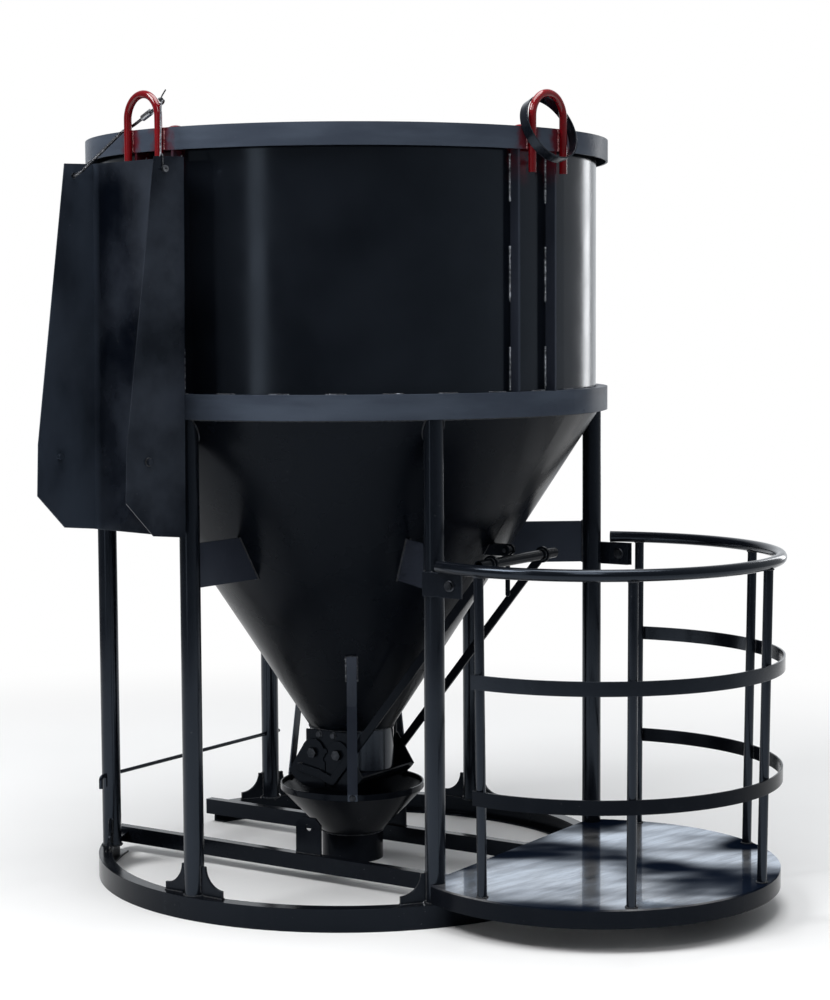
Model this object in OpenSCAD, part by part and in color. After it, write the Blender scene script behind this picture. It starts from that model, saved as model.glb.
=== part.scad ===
// Crane-lifted concrete bucket: a barrel and cone on six legs, a jaw gate worked by a lever,
// a catch funnel below it, a cradle for the operator and a pouring chute hung up on a lug.
// Millimetres, +Z up, +X towards the cradle. The origin is on the barrel's axis at ground level.

/* [Vessel] */
// Outside diameter of the barrel
barrel_d = 1490; // [1440:2:1520]
// Plate thickness of the barrel and the cone
shell_wall = 5; // [4:0.5:6]
// Height of the rim above the ground
rim_top = 2200; // [2150:5:2300]
// How far the two hoops stand out from the barrel
hoop_reach = 35; // [30:1:40]
// Thickness of the hoops' sections
hoop_wall = 6; // [4:0.5:8]
// Height of the rim hoop
rim_h = 62; // [50:1:75]
// Height of the girth hoop
girth_h = 69; // [50:1:80]
// Height of the cone's top edge above the ground
cone_top = 1403; // [1360:1:1440]
// How far the cone's top edge lies outside the barrel
cone_lip = 10; // [6:1:16]
// Outside diameter of the neck
neck_d = 258; // [250:1:264]
// Wall of the neck
neck_wall = 6; // [5:0.5:7]
// Height of the neck's top above the ground
neck_top = 437; // [434:1:444]
// Height of the neck's lower mouth above the ground
neck_mouth = 311; // [306:1:314]

/* [Lugs] */
// Bar diameter of the lifting lugs
lug_bar = 22; // [18:1:24]
// Distance between the two legs of a lug
lug_span = 131; // [124:1:136]
// Height of a lug's top above the rim
lug_rise = 105; // [98:1:120]
// How far a lug's legs reach down below the rim
lug_drop = 125; // [100:1:140]
// Angle of the lug on the cradle side, the others follow at right angles
lug_angle = -10.5; // [-14:0.5:-8]
// Thickness of the upright ribs under the lugs
rib_t = 8; // [6:1:12]
// Half the angle between the two ribs under a lug
rib_half_angle = 5.5; // [4.5:0.1:7]
// How far the pairs of ribs are turned towards each other
rib_turn = 2; // [0:0.5:3]

/* [Frame] */
// Outside diameter of the six legs
leg_d = 57; // [48:1:60]
// Wall of the leg tubes
leg_wall = 4; // [3:0.5:6]
// How far the legs' middles lie inside the girth hoop's outer edge
leg_set = 39; // [36:0.5:42]
// Angle of the two legs at the cradle
leg_angle_cradle = 37.2; // [36.5:0.1:38]
// Angle of the two middle legs
leg_angle_middle = 92.1; // [88:0.1:96]
// Angle of the two legs on the pouring side
leg_angle_pour = 146.8; // [144:0.1:149]
// How far the base ring's outer edge lies outside the legs' middles
ring_out = 34; // [32:0.5:36]
// Height of the base ring
ring_h = 65; // [60:1:66]
// Width of the base ring's flanges
ring_flange = 40; // [36:1:44]
// Thickness of the base ring's section
ring_wall = 6; // [4:0.5:8]
// Distance of the two chord rails from the middle plane
rail_y = 229.5; // [226:0.5:236]
// Width of a chord rail
rail_w = 30; // [26:1:34]
// Height of a chord rail's section
rail_h = 49; // [44:1:52]
// Height of the rails' underside above the ground
rail_lift = 30; // [26:1:34]
// Wall of the chord rails
rail_wall = 4; // [3:0.5:6]
// How far the rails run past the base ring's ends
rail_tail = 10; // [5:1:20]
// Height of the tie plates' lower edge above the ground
tie_z = 930; // [880:5:960]
// Height of a tie plate
tie_h = 125; // [100:1:150]
// Thickness of the tie plates
tie_t = 10; // [6:1:14]
// Height of a foot gusset
gusset_h = 85; // [75:1:100]
// Length of a foot gusset along the ring
gusset_l = 75; // [60:1:80]
// Width left at the narrow ends of a foot gusset
gusset_edge = 14; // [10:1:20]
// Thickness of the foot gussets
gusset_t = 8; // [6:1:10]

/* [Chute hanger] */
// Width of the brackets that take the chute's pins
bracket_w = 90; // [70:1:110]
// Height of a bracket above its rail
bracket_h = 111; // [105:1:130]
// Thickness of a bracket
bracket_t = 8; // [6:1:12]
// Height of the bracket's hole above the rail
bracket_hole_z = 80; // [70:1:90]
// Diameter of the bracket's hole
bracket_hole_d = 22; // [21:0.5:26]
// Diameter of the rod the chute's sling hooks over
rod_d = 12; // [8:1:16]
// Height of that rod above the ground
rod_z = 285; // [250:1:320]
// How far the rod stands out past its legs
rod_out = 20; // [18:1:40]

/* [Funnel] */
// Diameter of the funnel's rim
funnel_d = 440; // [430:2:460]
// Height of the funnel's rim above the ground
funnel_top = 262; // [255:1:266]
// Height of the upright lip at the rim
funnel_lip = 18; // [17:1:24]
// Wall of the funnel's bowl
funnel_wall = 4; // [3:0.5:5]
// Outside diameter of the outlet pipe
outlet_d = 187; // [170:1:200]
// Wall of the outlet pipe
outlet_wall = 5; // [4:0.5:7]
// Height of the outlet pipe's top above the ground
outlet_top = 112; // [100:1:125]
// Height of the outlet's mouth above the ground
outlet_mouth = 26; // [15:1:40]
// Width of the straps that carry the funnel
strap_w = 30; // [24:1:36]
// Thickness of the straps
strap_t = 5; // [4:0.5:6]
// Height at which a strap starts on the cone
strap_top = 690; // [640:5:760]
// Height at which a strap leaves the cone
strap_bend = 524; // [515:1:545]

/* [Gate] */
// Half the distance between the two jaw pivots
pivot_half = 45; // [43:0.5:47]
// Height of the pivots above the ground
pivot_z = 368; // [364:1:372]
// Diameter of the pivot pins
pivot_d = 20; // [16:1:22]
// Thickness of the hanger plates on the neck
hanger_t = 6; // [5:0.5:7]
// Half the width of a hanger plate
hanger_half = 75; // [70:1:80]
// Thickness of the jaw plates on the lever's side of the gate
jaw_t = 6; // [5:0.5:7]
// Thickness of the jaw pans
pan_t = 6; // [4:0.5:8]
// Gap between the neck's mouth and the pans as they swing
pan_gap = 1.5; // [1:0.1:3]
// Angle at which a pan ends under its outer side
pan_end_angle = 146; // [140:1:150]
// Width of the lever's arms
arm_w = 25; // [20:1:30]
// Thickness of the lever's arms
arm_t = 8; // [6:0.5:8]
// Distance of the lever's crossbar from the barrel's axis
handle_x = 590; // [575:1:600]
// Height of the lever's crossbar above the ground
handle_z = 978; // [960:1:985]
// Diameter of the crossbar
handle_d = 30; // [24:1:34]
// Length of the crossbar
handle_len = 430; // [380:5:480]

/* [Lever catch] */
// Height of the catch's pin above the ground
catch_z = 1003; // [995:1:1030]
// Distance of the catch's pin from the cone
catch_reach = 62; // [56:1:64]
// Diameter of the catch's bar
catch_bar_d = 14; // [10:1:16]
// Length of the catch's bar below its pin
catch_len = 130; // [100:1:150]
// Diameter of the catch's pin
catch_pin_d = 12; // [10:1:14]

/* [Cradle] */
// Height of the cradle's floor above the ground
floor_top = 120; // [118:1:130]
// Thickness of the floor plate
floor_t = 5; // [4:0.5:8]
// How far the floor runs past the circle on which the posts stand
floor_margin = 19; // [17:1:20]
// How far the floor's straight edge lies behind the middles of the cradle's legs
floor_back = 18; // [10:1:20]
// Depth of the band under the floor's edge
band_h = 48; // [40:1:49]
// Thickness of that band
band_t = 5; // [4:0.5:8]
// How far the posts lean outwards from the floor to the top rail
post_splay = 13; // [8:1:16]
// Diameter of the posts
post_d = 27; // [22:1:30]
// Angle by which the row of posts is turned towards the far side
post_turn = 3.4; // [2:0.1:4.5]
// Angle between the middle post and its neighbours
post_step = 53.1; // [51:0.1:55]
// Angle between the middle post and the two end posts
post_reach = 99.5; // [98:0.1:101]
// Half the angle of the top rail
rail_top_angle = 112.75; // [111:0.25:114]
// Height of the top rail's middle above the ground
rail_top_z = 1005; // [990:1:1015]
// Diameter of the top rail
rail_top_d = 33; // [28:1:36]
// Height of the flat hoops
flat_h = 40; // [30:1:50]
// Thickness of the flat hoops
flat_t = 5; // [4:0.5:8]
// Height of the upper hoop's top edge above the ground
upper_top = 728; // [680:1:780]
// Height of the lower hoop's top edge above the ground
lower_top = 412; // [360:1:460]
// Thickness of the tabs that join cradle and legs
tab_t = 8; // [6:0.5:8]
// Height of a tab
tab_h = 67; // [60:1:80]
// Thread diameter of the bolts through the tabs
tab_bolt_d = 14; // [12:1:16]

/* [Chute] */
// Length of the chute
chute_len = 1030; // [900:5:1040]
// Width of the chute
chute_w = 392; // [370:2:400]
// Sheet thickness of the chute
chute_t = 4; // [3:0.5:5]
// Depth of the chute at its upper end
chute_top_depth = 102; // [95:1:110]
// Depth of the chute where it is deepest, near its lower end
chute_low_depth = 205; // [190:1:220]
// Sideways offset of the chute from its lug
chute_shift = -12; // [-20:1:-8]
// How far the chute's top lies below the rim
chute_drop = 86; // [80:1:95]
// Angle by which the chute's lower end hangs outwards
chute_tip = 0.64; // [0.2:0.02:1.2]
// Diameter of the chute's pins
chute_pin_d = 18; // [14:1:20]
// How far the chute's pins stand out on both faces of its sides
chute_pin_out = 12; // [10:1:16]
// Diameter of the sling's rope
wire_d = 9; // [8:0.5:10]
// Diameter of the sling's thin end beyond the lug
tail_d = 5; // [4:0.5:6]
// Diameter of the sling's ferrules
ferrule_d = 18; // [16:1:20]

/* [Band ring] */
// Middle diameter of the loose band ring on the lug
band_ring_d = 190; // [188:1:191]
// Width of the band
band_ring_w = 28; // [24:1:29]
// Thickness of the band
band_ring_t = 4; // [3:0.5:4.5]

/* [Hidden] */

$fn = 96;
small_fn = 48;
cut = 1;
weld_gap = 0.3;
run_gap = 0.05;
side_gap = 1;
rest_gap = 0.5;
hex_fn = 6;

paint = [0.07, 0.08, 0.10];
red = [0.30, 0.05, 0.05];
steel = [0.45, 0.46, 0.48];
wire_grey = [0.62, 0.62, 0.60];

barrel_r = barrel_d / 2;
hoop_r = barrel_r + hoop_reach;
cone_top_r = barrel_r + cone_lip;
neck_r = neck_d / 2;
cone_slope = (cone_top_r - neck_r) / (cone_top - neck_top);
cone_run = shell_wall / cos(atan(cone_slope));
girth_top = cone_top + girth_h;
rim_low = rim_top - rim_h;

lug_r = sqrt(pow(hoop_r + lug_bar / 2 + weld_gap, 2) - pow(lug_span / 2, 2));
lug_bend_z = rim_top + lug_rise - lug_bar / 2 - lug_span / 2;
lug_face = lug_r + lug_bar / 2;
rib_inset = 2;

leg_r = leg_d / 2;
leg_circle_r = hoop_r - leg_set;
ring_r = leg_circle_r + ring_out;
ring_d = 2 * ring_r;
rail_top_face = rail_lift + rail_h;
rail_out = rail_y + rail_w / 2;
bracket_corner = 20;
gusset_clip = 9;
rod_fit = 0.5;
rod_bend = 12;
rod_tail = 25;
leg_pour_x = leg_circle_r * cos(leg_angle_pour);
leg_pour_y = leg_circle_r * sin(leg_angle_pour);
rod_end = leg_pour_y + leg_r + rod_out;
leg_cradle_x = leg_circle_r * cos(leg_angle_cradle);
leg_cradle_y = leg_circle_r * sin(leg_angle_cradle);

funnel_r = funnel_d / 2;
outlet_r = outlet_d / 2;
strap_angles = [-55, 78, -177];
strap_bolt_r = 4;
strap_bolt_hex = 7.5;
strap_bolt_head = 5.5;
strap_nut_gap = 0.5;
bolt_fit = 0.5;
strap_bolt_z = funnel_top - strap_bolt_hex - rest_gap;

hanger_in = neck_r + weld_gap;
hanger_out = hanger_in + hanger_t;
hanger_low = pivot_z - 28;
hanger_bolt_r = 5;
hanger_bolt_hex = 9;
hanger_bolt_head = 6;
hanger_bolt_x = 26;
hanger_bolt_z = neck_top - hanger_bolt_hex - 4;
jaw_in = hanger_out + side_gap;
jaw_out = jaw_in + jaw_t;
jaw_slim_t = jaw_t - side_gap;
pivot_r = pivot_d / 2;
pivot_hex = 16;
pivot_head = 10;
pan_r = sqrt(pow(neck_r - pivot_half, 2) + pow(pivot_z - neck_mouth, 2)) + pan_gap;
jaw_r = pan_r + pan_t;
jaw_disc_r = pivot_half - 3;
jaw_edge = pivot_half - 1.5;
tooth_r = 8;
tooth_room = 11;
tooth_high = 10;
tooth_low = -22;
jaw_shoulder = 155;
jaw_depth = 1.6;
arm_root_x = -90;
arm_root_drop = 50;
arm_knee_x = -20;
arm_knee_drop = 62;
arm_turn_x = 28;
arm_turn_drop = 80;
handle_r = handle_d / 2;
handle_wall = 3;
handle_eye = handle_r + 9;

catch_x = cone_top_r - (cone_top - catch_z) * cone_slope + catch_reach;
catch_eye_r = 13;
catch_eye_w = 18;
catch_ear_t = 8;
catch_ear_r = 16;
catch_ear_in = catch_eye_w / 2 + side_gap;
catch_pin_out = 4;

tab_in = leg_cradle_y + leg_r + weld_gap;
rail_top_r = (tab_in + 1.5 * tab_t) / sin(rail_top_angle);
post_foot_r = rail_top_r - post_splay;
floor_r = post_foot_r + floor_margin;
floor_edge_x = leg_cradle_x - floor_back;
post_lean = post_splay / (rail_top_z - floor_top);
post_angles = [for (a = [-post_reach, -post_step, 0, post_step, post_reach]) post_turn + a];
flat_past = 1.6;
rail_tube_wall = 3;
tab_top = rail_top_z - rail_top_d / 2 - weld_gap;
tab_low = tab_top - tab_h;
leg_tab_back = 15;
leg_tab_x = leg_cradle_x - leg_tab_back;
leg_tab_len = 125;
cradle_tab_out = 42;
cradle_tab_x = leg_cradle_x + cradle_tab_out;
cradle_tab_len = 73;
tab_bolt_out = 78;
tab_bolt_x = leg_cradle_x + tab_bolt_out;
tab_bolt_z = tab_low + tab_h / 2;
tab_bolt_hex = tab_bolt_d * 0.9;
tab_bolt_head = tab_bolt_d * 0.65;
cradle_x = cradle_tab_x + rest_gap - rail_top_r * cos(rail_top_angle);

chute_angle = lug_angle - 90;
chute_top = rim_top - chute_drop;
chute_back = lug_face + rest_gap;
chute_low_ratio = -0.90;
chute_mid_ratio = -0.76;
chute_end_ratio = -0.99;
chute_end_depth = 112;
chute_mid_step = 4;
sling_hole_depth = 71;
sling_hole_drop = 36;
sling_hole_r = 8;
chute_pin_depth = 129;
chute_pin_drop = chute_len * 0.795;
chute_left = chute_shift - chute_w / 2;
chute_right = chute_shift + chute_w / 2;
hole_r = chute_back + sling_hole_depth * cos(chute_tip) + sling_hole_drop * sin(chute_tip);
hole_z = chute_top - sling_hole_drop * cos(chute_tip) + sling_hole_depth * sin(chute_tip);
wire_r = wire_d / 2;
tail_r = tail_d / 2;
wire_sides = 8;
wire_back = lug_r - lug_bar / 2 - wire_r - 1;
wire_out = lug_r + 4;
leg_t = lug_span / 2;
sling_stop = 10;
ferrule_wall_gap = 0.5;
join_from = 0.34;
join_to = 0.62;
run_start = [wire_back, -leg_t + 4, rim_top + 14];
run_end = [wire_back, leg_t - 4, rim_top + 66];
sling_path = [
    [hole_r, chute_left - sling_stop - 4, hole_z],
    [hole_r, chute_left + 12, hole_z],
    [hole_r - 8, chute_left + 26, hole_z + 9],
    [wire_out + 11, -leg_t - 31, rim_top - 18],
    [wire_out + 1, -leg_t - 21, rim_top - 4],
    [wire_out - 11, -leg_t - 17, rim_top + 5],
    [wire_back + 1, -leg_t - 9, rim_top + 10],
    run_start,
    run_end,
    [wire_back + 1, leg_t + 9, rim_top + 71],
    [wire_out - 11, leg_t + 17, rim_top + 74],
    [wire_out, leg_t + 23, rim_top + 72],
    [wire_out + 8, leg_t + 27, rim_top + 62],
    [wire_out + 11, leg_t + 30, rim_top + 50],
    [hole_r - 8, chute_right - 22, hole_z + 17],
    [hole_r - 2, chute_right - 13, hole_z + 5],
    [hole_r, chute_right - 8, hole_z],
    [hole_r, chute_right + sling_stop + 4, hole_z]
];
rope_points = 9;
sling_radii = [for (i = [0:len(sling_path) - 1]) i < rope_points ? wire_r : tail_r];

band_ring_r = hoop_r + 12;
band_ring_z = rim_top - 4;
band_ring_tilt = 24;

// Outer radius of the cone at a height
function cone_at(z) = neck_r + (z - neck_top) * cone_slope;

// Length-one copy of a vector
function unit(v) = v / norm(v);

// Direction of a path at one of its points
function path_dir(p, i) =
    i == 0 ? unit(p[1] - p[0])
    : i == len(p) - 1 ? unit(p[i] - p[i - 1])
    : unit(unit(p[i + 1] - p[i]) + unit(p[i] - p[i - 1]));

// Side direction carried along a path from point to point
function path_side(p, i) =
    i == 0 ? unit(cross(path_dir(p, 0), [0, 0.2, 1]))
    : let (d = path_dir(p, i), s = path_side(p, i - 1)) unit(s - d * (s * d));

// Ring of points around a path's point
function path_ring(p, i, r, n) =
    let (d = path_dir(p, i), s = path_side(p, i), t = cross(d, s))
    [for (k = [0:n - 1]) p[i] + r * (cos(360 * k / n) * s + sin(360 * k / n) * t)];

// Round wire along a path, with a radius for each of its points
module wire(p, radii, n) {
    rings = [for (i = [0:len(p) - 1]) each path_ring(p, i, radii[i], n)];
    last = (len(p) - 1) * n;
    sides = [for (i = [0:len(p) - 2], k = [0:n - 1])
        [i * n + k, i * n + (k + 1) % n, (i + 1) * n + (k + 1) % n, (i + 1) * n + k]];
    ends = [[for (k = [n - 1:-1:0]) k], [for (k = [0:n - 1]) last + k]];
    polyhedron(points = rings, faces = concat(sides, ends), convexity = 6);
}

// Tube standing on the origin
module tube(h, r, wall) {
    difference() {
        cylinder(h = h, r = r);
        translate([0, 0, -cut])
            cylinder(h = h + 2 * cut, r = r - wall);
    }
}

// Round bar between two points
module bar(a, b, r) {
    d = b - a;
    translate(a)
        rotate([0, acos(d.z / norm(d)), atan2(d.y, d.x)])
            cylinder(h = norm(d), r = r);
}

// Cylinder along Y from one place to another
module along_y(x, z, y0, y1, r, sides = small_fn) {
    translate([x, y1, z])
        rotate([90, 0, 0])
            cylinder(h = y1 - y0, r = r, $fn = sides);
}

// Flat outline in X and Z, given a thickness along Y that starts at y0
module upright(y0, t) {
    translate([0, y0 + t, 0])
        rotate([90, 0, 0])
            linear_extrude(t)
                children();
}

// The same child on the near and the far side
module both_sides() {
    children();
    mirror([0, 1, 0])
        children();
}

// Space taken by the cone, with a gap around it
module cone_room(gap) {
    over = 60;
    translate([0, 0, neck_top])
        cylinder(h = cone_top + over - neck_top, r1 = neck_r + gap, r2 = cone_at(cone_top + over) + gap);
}

module barrel() {
    color(paint)
        translate([0, 0, cone_top])
            tube(rim_top - hoop_wall - cone_top, barrel_r, shell_wall);
}

module rim_hoop() {
    color(paint)
        rotate_extrude()
            polygon([
                [barrel_r - shell_wall, rim_top - hoop_wall],
                [hoop_r - hoop_wall, rim_top - hoop_wall],
                [hoop_r - hoop_wall, rim_low],
                [hoop_r, rim_low],
                [hoop_r, rim_top],
                [barrel_r - shell_wall, rim_top]
            ]);
}

module girth_hoop() {
    inner = barrel_r + weld_gap;
    web = hoop_r - hoop_wall;
    color(paint)
        rotate_extrude()
            polygon([
                [inner, cone_top],
                [hoop_r, cone_top],
                [hoop_r, girth_top],
                [inner, girth_top],
                [inner, girth_top - hoop_wall],
                [web, girth_top - hoop_wall],
                [web, cone_top + hoop_wall],
                [inner, cone_top + hoop_wall]
            ]);
}

module cone() {
    color(paint)
        rotate_extrude()
            polygon([
                [cone_top_r - cone_run, cone_top],
                [neck_r - cone_run, neck_top],
                [neck_r, neck_top],
                [cone_top_r, cone_top]
            ]);
}

module neck() {
    color(paint)
        difference() {
            translate([0, 0, neck_mouth])
                tube(neck_top - neck_mouth, neck_r, neck_wall);
            for (x = [-hanger_bolt_x, hanger_bolt_x])
                along_y(x, hanger_bolt_z, -neck_r, neck_r, hanger_bolt_r + bolt_fit);
        }
}

// Lifting lug: a round bar bent to a U
module lug(turn) {
    color(red)
        rotate([0, 0, lug_angle + turn])
            translate([lug_r, 0, 0]) {
                for (s = [-1, 1])
                    translate([0, s * lug_span / 2, rim_top - lug_drop])
                        cylinder(h = lug_bend_z - rim_top + lug_drop, d = lug_bar, $fn = small_fn);
                translate([0, 0, lug_bend_z])
                    rotate([90, 0, 90])
                        rotate_extrude(angle = 180)
                            translate([lug_span / 2, 0])
                                circle(d = lug_bar, $fn = small_fn);
            }
}

module lug_cradle() {
    lug(0);
}

module lug_near() {
    lug(-90);
}

module lug_pour() {
    lug(180);
}

module lug_far() {
    lug(90);
}

module lug_ribs() {
    color(paint)
        for (i = [0:3], s = [-1, 1])
            rotate([0, 0, lug_angle - 90 * i + (i % 2 == 0 ? -rib_turn : rib_turn) + s * rib_half_angle])
                difference() {
                    translate([barrel_r - cut, -rib_t / 2, girth_top])
                        cube([hoop_reach + cut - rib_inset, rib_t, rim_low - girth_top]);
                    translate([0, 0, girth_top - cut])
                        cylinder(h = rim_low - girth_top + 2 * cut, r = barrel_r + weld_gap);
                }
}

// Tube leg from the base ring up to the girth hoop, cut to the cone
module leg(angle) {
    difference() {
        rotate([0, 0, angle])
            translate([leg_circle_r, 0, ring_h])
                tube(cone_top - ring_h, leg_r, leg_wall);
        cone_room(weld_gap);
    }
}

// Leg with the cross hole for the sling rod
module rod_leg(angle) {
    difference() {
        leg(angle);
        along_y(leg_pour_x, rod_z, -ring_r, ring_r, rod_d / 2 + rod_fit);
    }
}

module leg_cradle_near() {
    color(paint)
        leg(-leg_angle_cradle);
}

module leg_cradle_far() {
    color(paint)
        leg(leg_angle_cradle);
}

module leg_mid_near() {
    color(paint)
        leg(-leg_angle_middle);
}

module leg_mid_far() {
    color(paint)
        leg(leg_angle_middle);
}

module leg_pour_near() {
    color(paint)
        rod_leg(-leg_angle_pour);
}

module leg_pour_far() {
    color(paint)
        rod_leg(leg_angle_pour);
}

module base_ring() {
    flange_in = ring_r - ring_flange;
    web = ring_r - ring_wall;
    color(paint)
        difference() {
            rotate_extrude()
                polygon([
                    [flange_in, 0],
                    [ring_r, 0],
                    [ring_r, ring_h],
                    [flange_in, ring_h],
                    [flange_in, ring_h - ring_wall],
                    [web, ring_h - ring_wall],
                    [web, ring_wall],
                    [flange_in, ring_wall]
                ]);
            translate([-ring_d, -rail_out, -cut])
                cube([ring_d, 2 * rail_out, ring_h + 2 * cut]);
        }
}

// Chord rail on one side, between the base ring's open end and its cradle side
module rail(side) {
    start = -sqrt(pow(ring_r, 2) - pow(rail_out, 2)) - rail_tail;
    reach = ring_r - ring_flange - weld_gap;
    color(paint)
        intersection() {
            difference() {
                translate([start, side * rail_y - rail_w / 2, rail_lift])
                    cube([ring_r - start, rail_w, rail_h]);
                translate([start - cut, side * rail_y - rail_w / 2 + rail_wall, rail_lift + rail_wall])
                    cube([ring_r - start + 2 * cut, rail_w - 2 * rail_wall, rail_h - 2 * rail_wall]);
            }
            union() {
                cylinder(h = rail_top_face + cut, r = reach);
                translate([-ring_d, -ring_r, 0])
                    cube([ring_d, ring_d, rail_top_face + cut]);
            }
        }
}

module rail_near() {
    rail(-1);
}

module rail_far() {
    rail(1);
}

module tie_plates() {
    start = cone_at(tie_z) - hoop_reach;
    color(paint)
        for (a = [leg_angle_cradle, leg_angle_middle], s = [-1, 1])
            difference() {
                rotate([0, 0, s * a])
                    translate([start, -tie_t / 2, tie_z])
                        cube([leg_circle_r - leg_r - weld_gap - start, tie_t, tie_h]);
                cone_room(weld_gap);
            }
}

// Gusset on one side of a leg's foot
module gusset(angle, side) {
    rotate([0, 0, angle])
        mirror([0, side < 0 ? 1 : 0, 0])
            translate([leg_circle_r - gusset_t / 2, leg_r + weld_gap, ring_h])
                rotate([90, 0, 90])
                    linear_extrude(gusset_t)
                        difference() {
                            square([gusset_l, gusset_h]);
                            translate([gusset_l, gusset_h])
                                circle(r = gusset_l - gusset_edge);
                            circle(r = gusset_clip, $fn = small_fn);
                        }
}

module foot_gussets() {
    color(paint)
        for (s = [-1, 1]) {
            gusset(s * leg_angle_cradle, s);
            for (a = [leg_angle_middle, leg_angle_pour], t = [-1, 1])
                gusset(s * a, t);
        }
}

// Upright plate on a chord rail with a hole for a chute pin
module chute_bracket(side) {
    half = bracket_w / 2;
    color(paint)
        upright(side * rail_y - bracket_t / 2, bracket_t)
            translate([0, rail_top_face])
                difference() {
                    polygon([
                        [-half, 0],
                        [half, 0],
                        [half, bracket_h - bracket_corner],
                        [half - bracket_corner, bracket_h],
                        [bracket_corner - half, bracket_h],
                        [-half, bracket_h - bracket_corner]
                    ]);
                    translate([0, bracket_hole_z])
                        circle(d = bracket_hole_d, $fn = small_fn);
                }
}

module chute_bracket_near() {
    chute_bracket(-1);
}

module chute_bracket_far() {
    chute_bracket(1);
}

module sling_rod() {
    color(paint)
        translate([leg_pour_x, rod_bend - rod_end, rod_z - rod_bend])
            rotate([90, 0, 90]) {
                translate([0, rod_bend, 0])
                    rotate([0, 90, 0])
                        cylinder(h = 2 * rod_end - rod_bend, d = rod_d, $fn = small_fn);
                rotate([0, 0, 90])
                    rotate_extrude(angle = 90)
                        translate([rod_bend, 0])
                            circle(d = rod_d, $fn = small_fn);
                translate([-rod_bend, 0, 0])
                    rotate([90, 0, 0])
                        cylinder(h = rod_tail, d = rod_d, $fn = small_fn);
            }
}

// Places a child at the outside of the funnel's lip, under each strap
module at_straps() {
    for (a = strap_angles)
        rotate([0, 0, a])
            translate([funnel_r, 0, strap_bolt_z])
                children();
}

module funnel_bowl() {
    lip_low = funnel_top - funnel_lip;
    color(paint)
        difference() {
            rotate_extrude()
                polygon([
                    [outlet_r - outlet_wall, outlet_top],
                    [outlet_r, outlet_top],
                    [funnel_r, lip_low],
                    [funnel_r, funnel_top],
                    [funnel_r - funnel_wall, funnel_top],
                    [funnel_r - funnel_wall, lip_low + funnel_wall / 2]
                ]);
            at_straps()
                rotate([0, 90, 0])
                    cylinder(h = 8 * funnel_wall, r = strap_bolt_r + bolt_fit, center = true, $fn = small_fn);
        }
}

module funnel_outlet() {
    color(paint)
        translate([0, 0, outlet_mouth])
            tube(outlet_top - outlet_mouth, outlet_r, outlet_wall);
}

// Flat strap: lies on the cone, bends away and ends on the funnel's lip
module funnel_strap(angle) {
    t = [strap_t, 0];
    lie = [cone_at(strap_top) + 1.2 * weld_gap, strap_top];
    bend = [cone_at(strap_bend) + 1.2 * weld_gap, strap_bend];
    lip = [funnel_r + weld_gap, funnel_top + 2];
    foot = [funnel_r + weld_gap, funnel_top - funnel_lip];
    color(paint)
        rotate([0, 0, angle])
            difference() {
                upright(-strap_w / 2, strap_w)
                    polygon([lie, bend, lip, foot, foot + t, lip + t, bend + t, lie + 1.2 * t]);
                translate([funnel_r, 0, strap_bolt_z])
                    rotate([0, 90, 0])
                        cylinder(h = 4 * strap_t, r = strap_bolt_r + bolt_fit, center = true, $fn = small_fn);
            }
}

module funnel_strap_near() {
    funnel_strap(strap_angles[0]);
}

module funnel_strap_far() {
    funnel_strap(strap_angles[1]);
}

module funnel_strap_pour() {
    funnel_strap(strap_angles[2]);
}

module strap_bolts() {
    seat = weld_gap + strap_t;
    nut = -funnel_wall - strap_nut_gap;
    color(steel)
        at_straps()
            rotate([0, 90, 0]) {
                translate([0, 0, nut - strap_bolt_head])
                    cylinder(h = strap_bolt_head, r = strap_bolt_hex, $fn = hex_fn);
                translate([0, 0, nut - strap_bolt_head])
                    cylinder(h = seat - nut + 2 * strap_bolt_head, r = strap_bolt_r, $fn = small_fn);
                translate([0, 0, seat])
                    cylinder(h = strap_bolt_head, r = strap_bolt_hex, $fn = hex_fn);
            }
}

// Plate on the neck that carries the two pivots on one side
module gate_hanger() {
    color(paint)
        upright(hanger_in, hanger_t)
            difference() {
                translate([-hanger_half, hanger_low])
                    square([2 * hanger_half, neck_top - hanger_low]);
                for (s = [-1, 1]) {
                    translate([s * pivot_half, pivot_z])
                        circle(r = pivot_r + weld_gap, $fn = small_fn);
                    translate([s * hanger_bolt_x, hanger_bolt_z])
                        circle(r = hanger_bolt_r + bolt_fit, $fn = small_fn);
                }
            }
}

module gate_hanger_near() {
    mirror([0, 1, 0])
        gate_hanger();
}

module gate_hanger_far() {
    gate_hanger();
}

module hanger_bolts() {
    color(steel)
        both_sides()
            for (x = [-hanger_bolt_x, hanger_bolt_x]) {
                along_y(x, hanger_bolt_z, neck_r - neck_wall, hanger_out, hanger_bolt_r);
                along_y(x, hanger_bolt_z, hanger_out, hanger_out + hanger_bolt_head, hanger_bolt_hex, hex_fn);
            }
}

module gate_pivots() {
    head = jaw_out + rest_gap;
    color(steel)
        both_sides()
            for (x = [-pivot_half, pivot_half]) {
                along_y(x, pivot_z, hanger_in, head, pivot_r);
                along_y(x, pivot_z, head, head + pivot_head, pivot_hex, hex_fn);
            }
}

// Part of the plane below a jaw's pivot, from the middle plane to the pan's outer end
module jaw_wedge(shoulder) {
    lip = [cos(pan_end_angle), -sin(pan_end_angle)] * jaw_r;
    polygon([
        [0, 0],
        shoulder,
        lip,
        lip * jaw_depth,
        [0, -jaw_r * jaw_depth * jaw_depth],
        [jaw_edge, -jaw_r * jaw_depth],
        [jaw_edge, 0]
    ]);
}

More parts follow.
